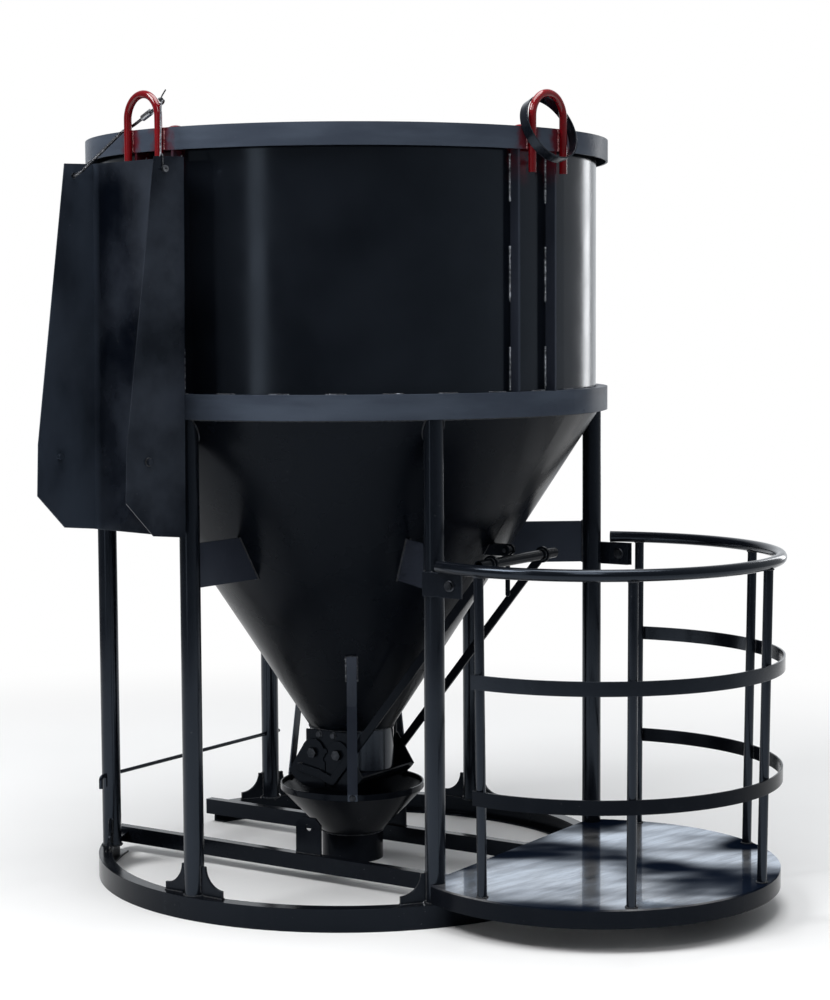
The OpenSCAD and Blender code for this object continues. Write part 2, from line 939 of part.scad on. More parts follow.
// Side plate of a jaw seen from the side, pivot at the origin, the other jaw at +X
module jaw_outline(tooth, notch) {
    difference() {
        union() {
            circle(r = jaw_disc_r);
            intersection() {
                circle(r = jaw_r);
                jaw_wedge(jaw_disc_r * [cos(jaw_shoulder), sin(jaw_shoulder)]);
            }
            translate(pivot_half * [cos(tooth), sin(tooth)])
                circle(r = tooth_r, $fn = small_fn);
        }
        translate([2 * pivot_half - pivot_half * cos(notch), pivot_half * sin(notch)])
            circle(r = tooth_room, $fn = small_fn);
        circle(r = pivot_r + run_gap, $fn = small_fn);
    }
}

// Curved pan of a jaw between its side plates
module jaw_pan() {
    upright(-jaw_in, 2 * jaw_in)
        intersection() {
            difference() {
                circle(r = jaw_r);
                circle(r = pan_r);
            }
            jaw_wedge([0, 0]);
        }
}

module jaw_pour_pan() {
    color(paint)
        translate([-pivot_half, 0, pivot_z])
            jaw_pan();
}

module jaw_pour_plates() {
    color(paint)
        translate([-pivot_half, 0, pivot_z])
            both_sides()
                upright(jaw_in, jaw_t)
                    jaw_outline(tooth_high, tooth_low);
}

module jaw_cradle_pan() {
    color(paint)
        translate([pivot_half, 0, pivot_z])
            mirror([1, 0, 0])
                jaw_pan();
}

module jaw_cradle_plates() {
    color(paint)
        translate([pivot_half, 0, pivot_z])
            mirror([1, 0, 0])
                both_sides()
                    upright(jaw_in, jaw_slim_t)
                        jaw_outline(tooth_low, tooth_high);
}

// Flat bar from one point to another in the plane
module flat_run(a, b) {
    d = b - a;
    translate(a)
        rotate(atan2(d.y, d.x))
            translate([0, -arm_w / 2])
                square([norm(d), arm_w]);
    translate(a)
        circle(d = arm_w, $fn = small_fn);
}

// Arm of the gate's lever: fixed on the pouring side's jaw, led under the other jaw and up
module lever_arm() {
    root = [arm_root_x, pivot_z - arm_root_drop];
    knee = [arm_knee_x, pivot_z - arm_knee_drop];
    turn = [arm_turn_x, pivot_z - arm_turn_drop];
    grip = [handle_x, handle_z];
    color(paint)
        upright(jaw_out, arm_t)
            difference() {
                union() {
                    flat_run(root, knee);
                    flat_run(knee, turn);
                    flat_run(turn, grip);
                    translate(grip)
                        circle(r = handle_eye, $fn = small_fn);
                }
                translate(grip)
                    circle(r = handle_r + weld_gap, $fn = small_fn);
            }
}

module lever_arm_near() {
    mirror([0, 1, 0])
        lever_arm();
}

module lever_arm_far() {
    lever_arm();
}

module lever_handle() {
    color(paint)
        translate([handle_x, handle_len / 2, handle_z])
            rotate([90, 0, 0])
                tube(handle_len, handle_r, handle_wall);
}

module catch_bracket() {
    back = cone_at(catch_z) - hoop_reach;
    color(paint)
        difference() {
            both_sides()
                upright(catch_ear_in, catch_ear_t)
                    difference() {
                        union() {
                            translate([catch_x, catch_z])
                                circle(r = catch_ear_r, $fn = small_fn);
                            translate([back, catch_z - catch_ear_r])
                                square([catch_x - back, 2 * catch_ear_r]);
                        }
                        translate([catch_x, catch_z])
                            circle(r = catch_pin_d / 2 + weld_gap, $fn = small_fn);
                    }
            cone_room(weld_gap);
        }
}

module catch_pin() {
    reach = catch_ear_in + catch_ear_t + catch_pin_out;
    color(steel)
        along_y(catch_x, catch_z, -reach, reach, catch_pin_d / 2);
}

module catch_bar() {
    color(paint)
        translate([catch_x, 0, catch_z])
            difference() {
                union() {
                    along_y(0, 0, -catch_eye_w / 2, catch_eye_w / 2, catch_eye_r);
                    translate([0, 0, -catch_len])
                        cylinder(h = catch_len - catch_pin_d / 2, d = catch_bar_d, $fn = small_fn);
                    translate([0, 0, -catch_len])
                        sphere(d = catch_bar_d, $fn = small_fn);
                }
                along_y(0, 0, -catch_eye_w, catch_eye_w, catch_pin_d / 2 + run_gap);
            }
}

// Room for the two cradle legs and for what lies behind a straight edge
module cradle_room(h, edge_x) {
    translate([edge_x - 2 * floor_r, -floor_r - cut, -cut])
        cube([2 * floor_r, 2 * (floor_r + cut), h]);
    for (s = [-1, 1])
        translate([leg_cradle_x, s * leg_cradle_y, -cut])
            cylinder(h = h, r = leg_r + weld_gap);
}

module cradle_floor() {
    color(paint)
        difference() {
            translate([cradle_x, 0, floor_top - floor_t])
                cylinder(h = floor_t, r = floor_r);
            cradle_room(2 * floor_top, floor_edge_x);
        }
}

module cradle_band() {
    color(paint)
        difference() {
            translate([cradle_x, 0, floor_top - floor_t - band_h])
                tube(band_h, floor_r, band_t);
            cradle_room(2 * floor_top, leg_cradle_x);
        }
}

module cradle_rail() {
    color(paint)
        translate([cradle_x, 0, rail_top_z])
            rotate([0, 0, -rail_top_angle])
                rotate_extrude(angle = 2 * rail_top_angle)
                    translate([rail_top_r, 0])
                        difference() {
                            circle(d = rail_top_d, $fn = small_fn);
                            circle(d = rail_top_d - 2 * rail_tube_wall, $fn = small_fn);
                        }
}

// Flat hoop around the outside of the posts
module cradle_hoop(top) {
    inner = post_foot_r + (top - floor_top) * post_lean + post_d / 2 + weld_gap;
    half = post_reach + flat_past;
    color(paint)
        translate([cradle_x, 0, top - flat_h])
            rotate([0, 0, post_turn - half])
                rotate_extrude(angle = 2 * half)
                    translate([inner, 0])
                        square([flat_t, flat_h]);
}

module cradle_hoop_upper() {
    cradle_hoop(upper_top);
}

module cradle_hoop_lower() {
    cradle_hoop(lower_top);
}

module cradle_posts() {
    over = floor_t * post_lean;
    color(paint)
        for (a = post_angles)
            translate([cradle_x, 0, 0])
                rotate([0, 0, a])
                    difference() {
                        bar([post_foot_r - over, 0, floor_top - floor_t],
                            [rail_top_r, 0, rail_top_z], post_d / 2);
                        translate([post_foot_r - post_d, -post_d, floor_top - 3 * floor_t])
                            cube([2 * post_d, 2 * post_d, 3 * floor_t]);
                        along_y(rail_top_r, rail_top_z, -post_d, post_d, rail_top_d / 2 + 2 * weld_gap, $fn);
                        translate([rail_top_r - post_d, -post_d, rail_top_z])
                            cube([2 * post_d, 2 * post_d, post_d]);
                    }
}

// Plate with the hole for the bolt between cradle and leg
module tab(x, len, y0) {
    upright(y0, tab_t)
        difference() {
            translate([x, tab_low])
                square([len, tab_h]);
            translate([tab_bolt_x, tab_bolt_z])
                circle(r = tab_bolt_d / 2 + bolt_fit, $fn = small_fn);
        }
}

module leg_tab_near() {
    color(paint)
        mirror([0, 1, 0])
            tab(leg_tab_x, leg_tab_len, tab_in);
}

module leg_tab_far() {
    color(paint)
        tab(leg_tab_x, leg_tab_len, tab_in);
}

module cradle_tabs() {
    color(paint)
        both_sides()
            tab(cradle_tab_x, cradle_tab_len, tab_in + tab_t);
}

module cradle_bolts() {
    outer = tab_in + 2 * tab_t;
    color(steel)
        both_sides() {
            along_y(tab_bolt_x, tab_bolt_z, tab_in - tab_bolt_head, outer, tab_bolt_d / 2);
            along_y(tab_bolt_x, tab_bolt_z, outer, outer + tab_bolt_head, tab_bolt_hex, hex_fn);
            along_y(tab_bolt_x, tab_bolt_z, tab_in - tab_bolt_head, tab_in, tab_bolt_hex, hex_fn);
        }
}

// Frame of the hung chute: X out from its back sheet, Z up from its top
module chute_frame() {
    rotate([0, 0, chute_angle])
        translate([chute_back, 0, chute_top])
            rotate([0, -chute_tip, 0])
                children();
}

// Side wall of the chute
module chute_side() {
    polygon([
        [0, 0],
        [0, -chute_len],
        [chute_end_depth, chute_len * chute_end_ratio],
        [chute_low_depth, chute_len * chute_low_ratio],
        [chute_low_depth - chute_mid_step, chute_len * chute_mid_ratio],
        [chute_top_depth, -chute_t]
    ]);
}

module chute_trough() {
    color(paint)
        chute_frame()
            difference() {
                union() {
                    translate([0, chute_left, -chute_len])
                        cube([chute_t, chute_w, chute_len]);
                    upright(chute_left, chute_t)
                        chute_side();
                    upright(chute_right - chute_t, chute_t)
                        chute_side();
                }
                along_y(sling_hole_depth, -sling_hole_drop, chute_left - cut, chute_right + cut, sling_hole_r);
                along_y(chute_pin_depth, -chute_pin_drop, chute_left - cut, chute_right + cut,
                    chute_pin_d / 2 + weld_gap);
            }
}

module chute_pins() {
    color(paint)
        chute_frame()
            for (y = [chute_left, chute_right - chute_t])
                along_y(chute_pin_depth, -chute_pin_drop, y - chute_pin_out, y + chute_t + chute_pin_out,
                    chute_pin_d / 2);
}

module sling() {
    color(wire_grey)
        rotate([0, 0, chute_angle])
            wire(sling_path, sling_radii, wire_sides);
}

// Pressed sleeve on a wire of some radius between two points
module ferrule(a, b, r) {
    difference() {
        bar(a, b, ferrule_d / 2);
        bar(a - (b - a) / 4, b + (b - a) / 4, r + weld_gap);
    }
}

module sling_ferrules() {
    run = run_end - run_start;
    left = [hole_r, chute_left - ferrule_wall_gap, hole_z];
    right = [hole_r, chute_right + ferrule_wall_gap, hole_z];
    stop = [0, sling_stop, 0];
    color(steel)
        rotate([0, 0, chute_angle]) {
            ferrule(run_start + run * join_from, run_start + run * join_to, wire_r);
            ferrule(left - stop, left, wire_r);
            ferrule(right, right + stop, tail_r);
        }
}

module lug_ring() {
    color(paint)
        rotate([0, 0, lug_angle])
            translate([band_ring_r, 0, band_ring_z])
                rotate([0, 90 - band_ring_tilt, 0])
                    translate([0, 0, -band_ring_w / 2])
                        tube(band_ring_w, (band_ring_d + band_ring_t) / 2, band_ring_t);
}

barrel();
rim_hoop();
girth_hoop();
cone();
neck();
lug_cradle();
lug_near();
lug_pour();
lug_far();
lug_ribs();
leg_cradle_near();
leg_cradle_far();
leg_mid_near();
leg_mid_far();
leg_pour_near();
leg_pour_far();
base_ring();
rail_near();
rail_far();
tie_plates();
foot_gussets();
chute_bracket_near();
chute_bracket_far();
sling_rod();
funnel_bowl();
funnel_outlet();
funnel_strap_near();
funnel_strap_far();
funnel_strap_pour();
strap_bolts();
gate_hanger_near();
gate_hanger_far();
hanger_bolts();
gate_pivots();
jaw_pour_pan();
jaw_pour_plates();
jaw_cradle_pan();
jaw_cradle_plates();
lever_arm_near();
lever_arm_far();
lever_handle();
catch_bracket();
catch_pin();
catch_bar();
cradle_floor();
cradle_band();
cradle_rail();
cradle_hoop_upper();
cradle_hoop_lower();
cradle_posts();
leg_tab_near();
leg_tab_far();
cradle_tabs();
cradle_bolts();
chute_trough();
chute_pins();
sling();
sling_ferrules();
lug_ring();
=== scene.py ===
"""Looks of a crane-lifted concrete bucket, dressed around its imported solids.

Metres, +Z up, +X towards the operator's cradle, the origin on the barrel's axis at ground level.
"""

import logging
import math
from dataclasses import dataclass, field, replace
from enum import Enum
from typing import Any, ClassVar, Sequence

import bpy
from mathutils import Matrix, Vector


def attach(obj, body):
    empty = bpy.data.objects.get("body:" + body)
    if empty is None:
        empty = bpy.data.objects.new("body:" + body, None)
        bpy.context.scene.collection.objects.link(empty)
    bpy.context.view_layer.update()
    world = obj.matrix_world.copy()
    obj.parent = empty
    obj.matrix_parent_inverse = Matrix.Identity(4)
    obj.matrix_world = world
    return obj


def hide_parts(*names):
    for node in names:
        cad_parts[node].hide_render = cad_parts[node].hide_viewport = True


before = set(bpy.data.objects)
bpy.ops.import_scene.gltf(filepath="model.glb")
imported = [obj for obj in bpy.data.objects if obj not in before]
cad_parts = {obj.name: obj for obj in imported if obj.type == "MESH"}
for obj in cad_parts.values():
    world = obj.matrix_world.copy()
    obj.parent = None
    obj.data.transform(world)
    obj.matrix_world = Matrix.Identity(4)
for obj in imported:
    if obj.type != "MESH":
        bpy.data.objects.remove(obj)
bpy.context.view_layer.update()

LOG = logging.getLogger("bucket")

Colour = tuple[float, float, float]
Path = list[Vector]
Socket = bpy.types.NodeSocket

EVEN: Colour = (1.0, 1.0, 1.0)
WHITE: Colour = (1.0, 1.0, 1.0)
BLACK: Colour = (0.0, 0.0, 0.0)
UP = Vector((0.0, 0.0, 1.0))
SIDES = (-1, 1)
FULL_TURN = 360.0
LUGS = 4
LUG_STEP = FULL_TURN / LUGS


class Body(Enum):
    """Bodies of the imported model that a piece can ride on."""

    FRAME = "frame"
    GATE_POUR = "gate_pour"
    CHUTE = "chute"


class Slot(Enum):
    """Material slots of the record."""

    BLACK = "black_paint"
    RED = "red_paint"
    STEEL = "bolt_steel"
    WIRE = "wire"


# Shader nodes


class Graph:
    """Adds and links the shader nodes of one material or of the world."""

    def __init__(self, tree: bpy.types.NodeTree, coords: str = "Object") -> None:
        """Starts on a node tree.

        Args:
            tree: The tree that takes the nodes.
            coords: Output of the Texture Coordinate node that patterns read.
        """
        self.tree = tree
        self.coords = self.add("ShaderNodeTexCoord").outputs[coords]

    def add(self, kind: str, **settings: Any) -> bpy.types.Node:
        """Adds one node.

        Args:
            kind: Blender's type name of the node.
            settings: Properties of the node to set.

        Returns:
            The new node.
        """
        node = self.tree.nodes.new(kind)
        for key, value in settings.items():
            setattr(node, key, value)
        return node

    def feed(self, socket: Socket, value: Any) -> None:
        """Links a socket to another one, or sets it to a constant.

        Args:
            socket: The input to feed.
            value: An output socket, a number or a colour.
        """
        if isinstance(value, Socket):
            self.tree.links.new(value, socket)
        elif isinstance(value, tuple) and socket.type == "RGBA":
            socket.default_value = (*value, 1.0)
        else:
            socket.default_value = value

    def turned(self, angle: float = 0.0, stretch: Colour = EVEN) -> Socket:
        """Turns the coordinates about Z, then stretches them.

        Args:
            angle: Turn in radians.
            stretch: Factor along each axis.

        Returns:
            The turned coordinates.
        """
        node = self.add("ShaderNodeMapping")
        self.feed(node.inputs["Vector"], self.coords)
        node.inputs["Rotation"].default_value = (0.0, 0.0, angle)
        scaled = self.add("ShaderNodeVectorMath", operation="MULTIPLY")
        self.feed(scaled.inputs[0], node.outputs["Vector"])
        scaled.inputs[1].default_value = stretch
        return scaled.outputs["Vector"]

    def span(self, value: Any, low: float, high: float, to_low: float = 0.0, to_high: float = 1.0) -> Socket:
        """Maps a range of a value smoothly onto another range.

        Args:
            value: The value to map.
            low: Start of its range.
            high: End of its range.
            to_low: Result at the start.
            to_high: Result at the end.

        Returns:
            The mapped value.
        """
        node = self.add("ShaderNodeMapRange", interpolation_type="SMOOTHSTEP")
        for key, number in zip(("Value", "From Min", "From Max", "To Min", "To Max"),
                               (value, low, high, to_low, to_high)):
            self.feed(node.inputs[key], number)
        return node.outputs["Result"]

    def combine(self, operation: str, first: Any, second: Any = 0.0) -> Socket:
        """Combines two values.

        Args:
            operation: Name of the Math node's operation.
            first: First value.
            second: Second value, where the operation takes one.

        Returns:
            The result.
        """
        node = self.add("ShaderNodeMath", operation=operation)
        self.feed(node.inputs[0], first)
        self.feed(node.inputs[1], second)
        return node.outputs[0]

    def times(self, first: Any, second: Any) -> Socket:
        """Multiplies two values."""
        return self.combine("MULTIPLY", first, second)

    def blend(self, share: Any, first: Any, second: Any) -> Socket:
        """Mixes two colours.

        Args:
            share: Share of the second colour.
            first: First colour.
            second: Second colour.

        Returns:
            The mixed colour.
        """
        node = self.add("ShaderNodeMix", data_type="RGBA")
        colours = [socket for socket in node.inputs if socket.type == "RGBA"]
        self.feed(node.inputs[0], share)
        self.feed(colours[0], first)
        self.feed(colours[1], second)
        return next(socket for socket in node.outputs if socket.type == "RGBA")

    def bump(self, height: Any, depth: float, normal: Socket | None = None) -> Socket:
        """Raises a surface by a pattern.

        Args:
            height: The pattern.
            depth: Its depth in metres.
            normal: Normal of the surface below it, where it lies on another pattern.

        Returns:
            The new normal.
        """
        node = self.add("ShaderNodeBump")
        node.inputs["Strength"].default_value = 1.0
        node.inputs["Distance"].default_value = depth
        self.feed(node.inputs["Height"], height)
        if normal is not None:
            self.feed(node.inputs["Normal"], normal)
        return node.outputs["Normal"]


@dataclass(frozen=True)
class Pattern:
    """Noise with its features per metre, octaves and their weight, and the range that a mask keeps of it.

    The stretch is along each axis of the coordinates, after their turn about Z.
    """

    scale: float
    detail: float = 4.0
    rough: float = 0.55
    low: float = 0.3
    high: float = 0.7
    stretch: Colour = EVEN
    turn: float = 0.0

    def noise(self, graph: Graph) -> Socket:
        """Adds the noise itself.

        Args:
            graph: Graph of the material.

        Returns:
            The noise, from 0 to 1.
        """
        node = graph.add("ShaderNodeTexNoise")
        plain = self.stretch == EVEN
        graph.feed(node.inputs["Vector"], graph.coords if plain else graph.turned(self.turn, self.stretch))
        node.inputs["Scale"].default_value = self.scale
        node.inputs["Detail"].default_value = self.detail
        node.inputs["Roughness"].default_value = self.rough
        return node.outputs["Fac"]

    def mask(self, graph: Graph, to_low: float = 0.0, to_high: float = 1.0) -> Socket:
        """Spreads the kept range of the noise over new limits.

        Args:
            graph: Graph of the material.
            to_low: Result at the start of the range.
            to_high: Result at its end.

        Returns:
            The mask.
        """
        return graph.span(self.noise(graph), self.low, self.high, to_low, to_high)


def new_shader(name: str) -> tuple[bpy.types.Material, Graph, bpy.types.Node]:
    """Makes a node material.

    Args:
        name: Name of the material.

    Returns:
        The material, its graph and its Principled shader.
    """
    material = bpy.data.materials.new(name)
    material.use_nodes = True
    return material, Graph(material.node_tree), material.node_tree.nodes["Principled BSDF"]


# Finishes


CLOUDS = Pattern(2.3, 5.0, low=0.34, high=0.68)
RUNS = Pattern(11.0, 4.0, 0.6, 0.46, 0.74, (1.0, 1.0, 0.1))
GRAIN = Pattern(48.0, 6.0, 0.6, 0.38, 0.72)
CHIPS = Pattern(150.0, 2.0, 0.5, 0.735, 0.76)
CHIPPED_PLACES = Pattern(7.0, 3.0, low=0.50, high=0.62)
GLOSS = Pattern(6.0, 3.0, 0.5)
DENTS = Pattern(3.4, 2.0, 0.4)
ORANGE_SKIN = Pattern(380.0, 3.0)
DULL_PATCHES = Pattern(60.0, 5.0, 0.6, 0.35, 0.65)
SCRATCHES = Pattern(600.0, 4.0, 0.6)
RUST = Pattern(130.0, 5.0, 0.65, 0.58, 0.72)
BEAD_PATCHES = Pattern(95.0, 5.0, 0.65)
BEAD_GLOSS = Pattern(300.0)
BEAD_SKIN = Pattern(900.0, 3.0)

CHIP_TONE: Colour = (0.20, 0.20, 0.21)
CHIP_DEPTH = 0.0001
RUST_TONE: Colour = (0.10, 0.045, 0.022)
DUST_DULLS = 0.3
COAT_ROUGH = 0.04
BEVEL_SAMPLES = 4


@dataclass(frozen=True)
class Overspray:
    """Red mist that the lugs' paint left on the hoop and the ribs, on both sides of each lug's legs."""

    tint: Colour = (0.090, 0.0020, 0.0050)
    turn: float = math.radians(10.5)
    leg: float = 0.0655
    reach: float = 0.052
    full: float = 0.016
    low: float = 2.03
    high: float = 2.12
    inside: float = 0.7415
    outside: float = 0.7445
    strength: float = 0.85
    edge: Pattern = Pattern(26.0, 5.0)
    fray: float = 0.08

    def mask(self, graph: Graph) -> Socket:
        """Finds the places near a lug.

        Args:
            graph: Graph of the material.

        Returns:
            A mask from 0 to the mist's strength.
        """
        split = graph.add("ShaderNodeSeparateXYZ")
        graph.feed(split.inputs[0], graph.turned(self.turn))
        flat = [split.outputs["X"], split.outputs["Y"]]
        aside = graph.combine("MINIMUM", *[graph.combine("ABSOLUTE", value) for value in flat])
        ragged = graph.times(graph.combine("SUBTRACT", self.edge.noise(graph), 0.5), self.fray)
        off = graph.combine("ABSOLUTE", graph.combine("SUBTRACT", aside, self.leg))
        near = graph.span(graph.combine("ADD", off, ragged), self.reach, self.full)
        high = graph.span(graph.combine("ADD", split.outputs["Z"], ragged), self.low, self.high)
        radius = graph.combine("SQRT", graph.combine("ADD", *[graph.times(value, value) for value in flat]))
        outer = graph.span(radius, self.inside, self.outside, 0.0, self.strength)
        return graph.times(graph.times(near, high), outer)


@dataclass(frozen=True)
class PaintedLight:
    """Painted light: a lighter bluish tone on the inner face of the chute's left side, standing in for the
    light that falls on that face.
    """

    tint: Colour = (0.034, 0.044, 0.062)
    turn: float = math.radians(100.5)
    clear: float = -0.170
    full: float = -0.2035
    cloud: Pattern = Pattern(3.4, low=0.34, high=0.66, stretch=(1.0, 1.0, 0.6))
    faintest: float = 0.25
    strongest: float = 0.95

    def mask(self, graph: Graph) -> Socket:
        """Finds where the painted light lies.

        Args:
            graph: Graph of the material.

        Returns:
            A mask from 0 to 1.
        """
        split = graph.add("ShaderNodeSeparateXYZ")
        graph.feed(split.inputs[0], graph.turned(self.turn))
        side = graph.span(split.outputs["Y"], self.full, self.clear, 1.0, 0.0)
        return graph.times(side, self.cloud.mask(graph, self.faintest, self.strongest))


@dataclass(frozen=True)
class Wear:
    """Paint that boots have worn down to bright steel, in patches with scuffs across them."""

    tint: Colour = (0.50, 0.50, 0.50)
    shine: float = 0.94
    patches: Pattern = Pattern(2.4, 1.6, 0.5, 0.41, 0.65, (0.85, 1.7, 1.0), math.radians(147.0))
    scuffs: Pattern = Pattern(6.0, 6.0, 0.6, 0.34, 0.62, (4.0, 0.6, 1.0), math.radians(12.0))
    scuffed: float = 0.72

    def mask(self, graph: Graph) -> Socket:
        """Finds the worn places.

        Args:
            graph: Graph of the material.

        Returns:
            A mask from 0 to 1.
        """
        return graph.times(self.patches.mask(graph), self.scuffs.mask(graph, self.scuffed, 1.0))


@dataclass(frozen=True)
class Paint:
    """Sprayed paint on steel: patches, dust, small chips, orange skin and plate waves. On the chute and the
    hoops the patches and the tones are painted reflection and painted sheen, and on the chute a lighter patch
    is painted light.
    """

    name: str
    dark_tone: Colour
    light_tone: Colour
    gloss: tuple[float, float]
    dust: float = 0.3
    dust_tone: Colour = (0.12, 0.13, 0.15)
    chips: float = 0.5
    peel: float = 0.00006
    wave: float = 0.0006
    edge: float = 0.0012
    coat: float = 0.0
    specular: float = 0.5
    # Painted sky colour: the tint of the paint's reflections, bluish unless set to white.
    painted_sky_tint: Colour = (0.66, 0.80, 1.0)
    wear: Wear | None = None
    streak: Colour = EVEN
    mist_and_painted_light: Overspray | PaintedLight | None = None

    def material(self) -> bpy.types.Material:
        """Builds the material.

        Returns:
            The material.
        """
        material, graph, shader = new_shader(self.name)
        shader.inputs["Specular IOR Level"].default_value = self.specular
        shader.inputs["Specular Tint"].default_value = (*self.painted_sky_tint, 1.0)
        shader.inputs["Coat Weight"].default_value = self.coat
        shader.inputs["Coat Roughness"].default_value = COAT_ROUGH
        # Patches between the dark and light tones: on the chute's sheet they are painted reflection, on the
        # hoops painted sheen, on the other paints uneven paint.
        colour = graph.blend(replace(CLOUDS, stretch=self.streak).mask(graph), self.dark_tone, self.light_tone)
        dusty = graph.times(graph.times(RUNS.mask(graph), GRAIN.mask(graph)), self.dust)
        colour = graph.blend(dusty, colour, self.dust_tone)
        # Red overspray on the hoops and ribs; on the chute's left side, a lighter patch of painted light.
        if self.mist_and_painted_light is not None:
            colour = graph.blend(self.mist_and_painted_light.mask(graph), colour, self.mist_and_painted_light.tint)
        if self.wear is not None:
            worn = self.wear.mask(graph)
            colour = graph.blend(graph.times(worn, worn), colour, self.wear.tint)
            graph.feed(shader.inputs["Coat Weight"], graph.times(worn, self.coat))
            graph.feed(shader.inputs["Metallic"], graph.times(worn, self.wear.shine))
        spots = graph.times(CHIPS.mask(graph), CHIPPED_PLACES.mask(graph, 0.0, self.chips))
        graph.feed(shader.inputs["Base Color"], graph.blend(spots, colour, CHIP_TONE))
        rough = graph.combine("ADD", GLOSS.mask(graph, *self.gloss), graph.times(dusty, DUST_DULLS))
        graph.feed(shader.inputs["Roughness"], rough)
        graph.feed(shader.inputs["Normal"], self.relief(graph, spots))
        return material

    def relief(self, graph: Graph, spots: Socket) -> Socket:
        """Rounds the edges and adds plate waves, orange skin and the depth of the chips.

        Args:
            graph: Graph of the material.
            spots: Mask of the chips.

        Returns:
            The normal.
        """
        rounded = graph.add("ShaderNodeBevel", samples=BEVEL_SAMPLES)
        rounded.inputs["Radius"].default_value = self.edge
        normal = graph.bump(DENTS.noise(graph), self.wave, rounded.outputs["Normal"])
        normal = graph.bump(ORANGE_SKIN.noise(graph), self.peel, normal)
        return graph.bump(spots, -CHIP_DEPTH, normal)


@dataclass(frozen=True)
class Metal:
    """Bare or plated steel: dull patches, fine scratches, rust in the low spots."""

    name: str
    bright: Colour
    dull: Colour
    rough: tuple[float, float]
    rust: float = 0.25
    scratch: float = 0.00004

    def material(self) -> bpy.types.Material:
        """Builds the material.

        Returns:
            The material.
        """
        material, graph, shader = new_shader(self.name)
        fine = SCRATCHES.noise(graph)
        colour = graph.blend(DULL_PATCHES.mask(graph), self.bright, self.dull)
        rusty = RUST.mask(graph, 0.0, self.rust)
        rough = graph.span(fine, SCRATCHES.low, SCRATCHES.high, *self.rough)
        graph.feed(shader.inputs["Base Color"], graph.blend(rusty, colour, RUST_TONE))
        graph.feed(shader.inputs["Metallic"], graph.combine("SUBTRACT", 1.0, rusty))
        graph.feed(shader.inputs["Roughness"], rough)
        graph.feed(shader.inputs["Normal"], graph.bump(fine, self.scratch))
        return material


@dataclass(frozen=True)
class WeldMetal:
    """Weld beads: the covering paint's tone, with patches of a bright, partly metallic tone."""

    name: str
    bright_tone: Colour
    cover: Colour
    covered: float = 0.5
    soft: float = 0.12
    shine: float = 0.7
    rough: tuple[float, float] = (0.22, 0.42)
    ripple: float = 0.00008

    def material(self) -> bpy.types.Material:
        """Builds the material.

        Returns:
            The material.
        """
        material, graph, shader = new_shader(self.name)
        patches = replace(BEAD_PATCHES, low=self.covered - self.soft, high=self.covered + self.soft)
        share = patches.mask(graph)
        graph.feed(shader.inputs["Base Color"], graph.blend(share, self.cover, self.bright_tone))
        graph.feed(shader.inputs["Metallic"], graph.times(share, self.shine))
        graph.feed(shader.inputs["Roughness"], BEAD_GLOSS.mask(graph, *self.rough))
        graph.feed(shader.inputs["Normal"], graph.bump(BEAD_SKIN.noise(graph), self.ripple))
        return material


Finish = Paint | Metal | WeldMetal
Looks = tuple[tuple[Finish, tuple[str, ...]], ...]

MIST = Overspray()
SHELL = Paint("shell_gloss", (0.0012, 0.0018, 0.0032), (0.0058, 0.0073, 0.0105), (0.13, 0.20),
              dust=0.012, chips=0.10, wave=0.0006, specular=0.50, mist_and_painted_light=MIST)
CONE = Paint("cone_paint", (0.0013, 0.0020, 0.0036), (0.0021, 0.0030, 0.0050), (0.22, 0.32),
             dust=0.012, chips=0.12, wave=0.0004, specular=0.09)
# Painted sheen: a light grey tone with streaks along the hoops, and almost no reflection, stands in for the
# sheen on their black paint.
PAINTED_SHEEN = Paint("section_painted_sheen", (0.045, 0.056, 0.078), (0.062, 0.077, 0.104), (0.26, 0.36),
              dust=0.04, chips=0.3, wave=0.0003, specular=0.03, streak=(1.6, 1.6, 8.0), mist_and_painted_light=MIST)
TUBE = Paint("tube_paint", (0.0036, 0.0046, 0.0070), (0.0058, 0.0072, 0.0106), (0.11, 0.19),
             dust=0.025, chips=0.2, wave=0.0003, edge=0.002, specular=0.36)
LOW = Paint("low_paint", (0.0032, 0.0040, 0.0060), (0.0050, 0.0061, 0.0088), (0.14, 0.24),
            dust=0.03, chips=0.6, wave=0.0003, edge=0.002, specular=0.08)
BASE = replace(LOW, name="base_paint", specular=0.16)
# Painted light: a lighter copy of the black paint, so that the ribs, the tie plates and the funnel straps,
# their shaded sides too, read as lit.
RIB_PAINTED_LIGHT = Paint("rib_painted_light", (0.0200, 0.0238, 0.0345), (0.0290, 0.0340, 0.0480), (0.16, 0.26),
            dust=0.04, chips=0.2, wave=0.0002, specular=0.45, mist_and_painted_light=MIST)
# Painted reflection: the wide spread between its dark and light tones paints reflection patches on the
# chute's black paint, and a lighter patch of painted light lies on the left side's inner face.
SHEET = Paint("chute_paint", (0.0016, 0.0024, 0.0046), (0.0285, 0.0345, 0.0465), (0.10, 0.18),
              dust=0.04, chips=0.3, wave=0.0030, edge=0.0025, specular=0.24, mist_and_painted_light=PaintedLight())
DECK = Paint("deck_gloss", (0.0026, 0.0050, 0.0115), (0.0052, 0.0086, 0.0175), (0.16, 0.26),
             dust=0.025, dust_tone=(0.16, 0.17, 0.18), chips=0.9, wave=0.0009, specular=0.0,
             coat=1.0, wear=Wear())
RED = Paint("lug_red", (0.105, 0.0006, 0.0030), (0.205, 0.0012, 0.0048), (0.10, 0.20),
            dust=0.03, dust_tone=(0.05, 0.02, 0.02), chips=0.3, wave=0.0001, specular=0.3,
            coat=0.45, painted_sky_tint=WHITE)
BOLT = Metal("bolt_steel_dull", (0.060, 0.065, 0.075), (0.020, 0.023, 0.028), (0.30, 0.46), rust=0.1)
WIRE = Metal("rope_galvanised", (0.17, 0.175, 0.19), (0.045, 0.048, 0.055), (0.24, 0.40), rust=0.06)
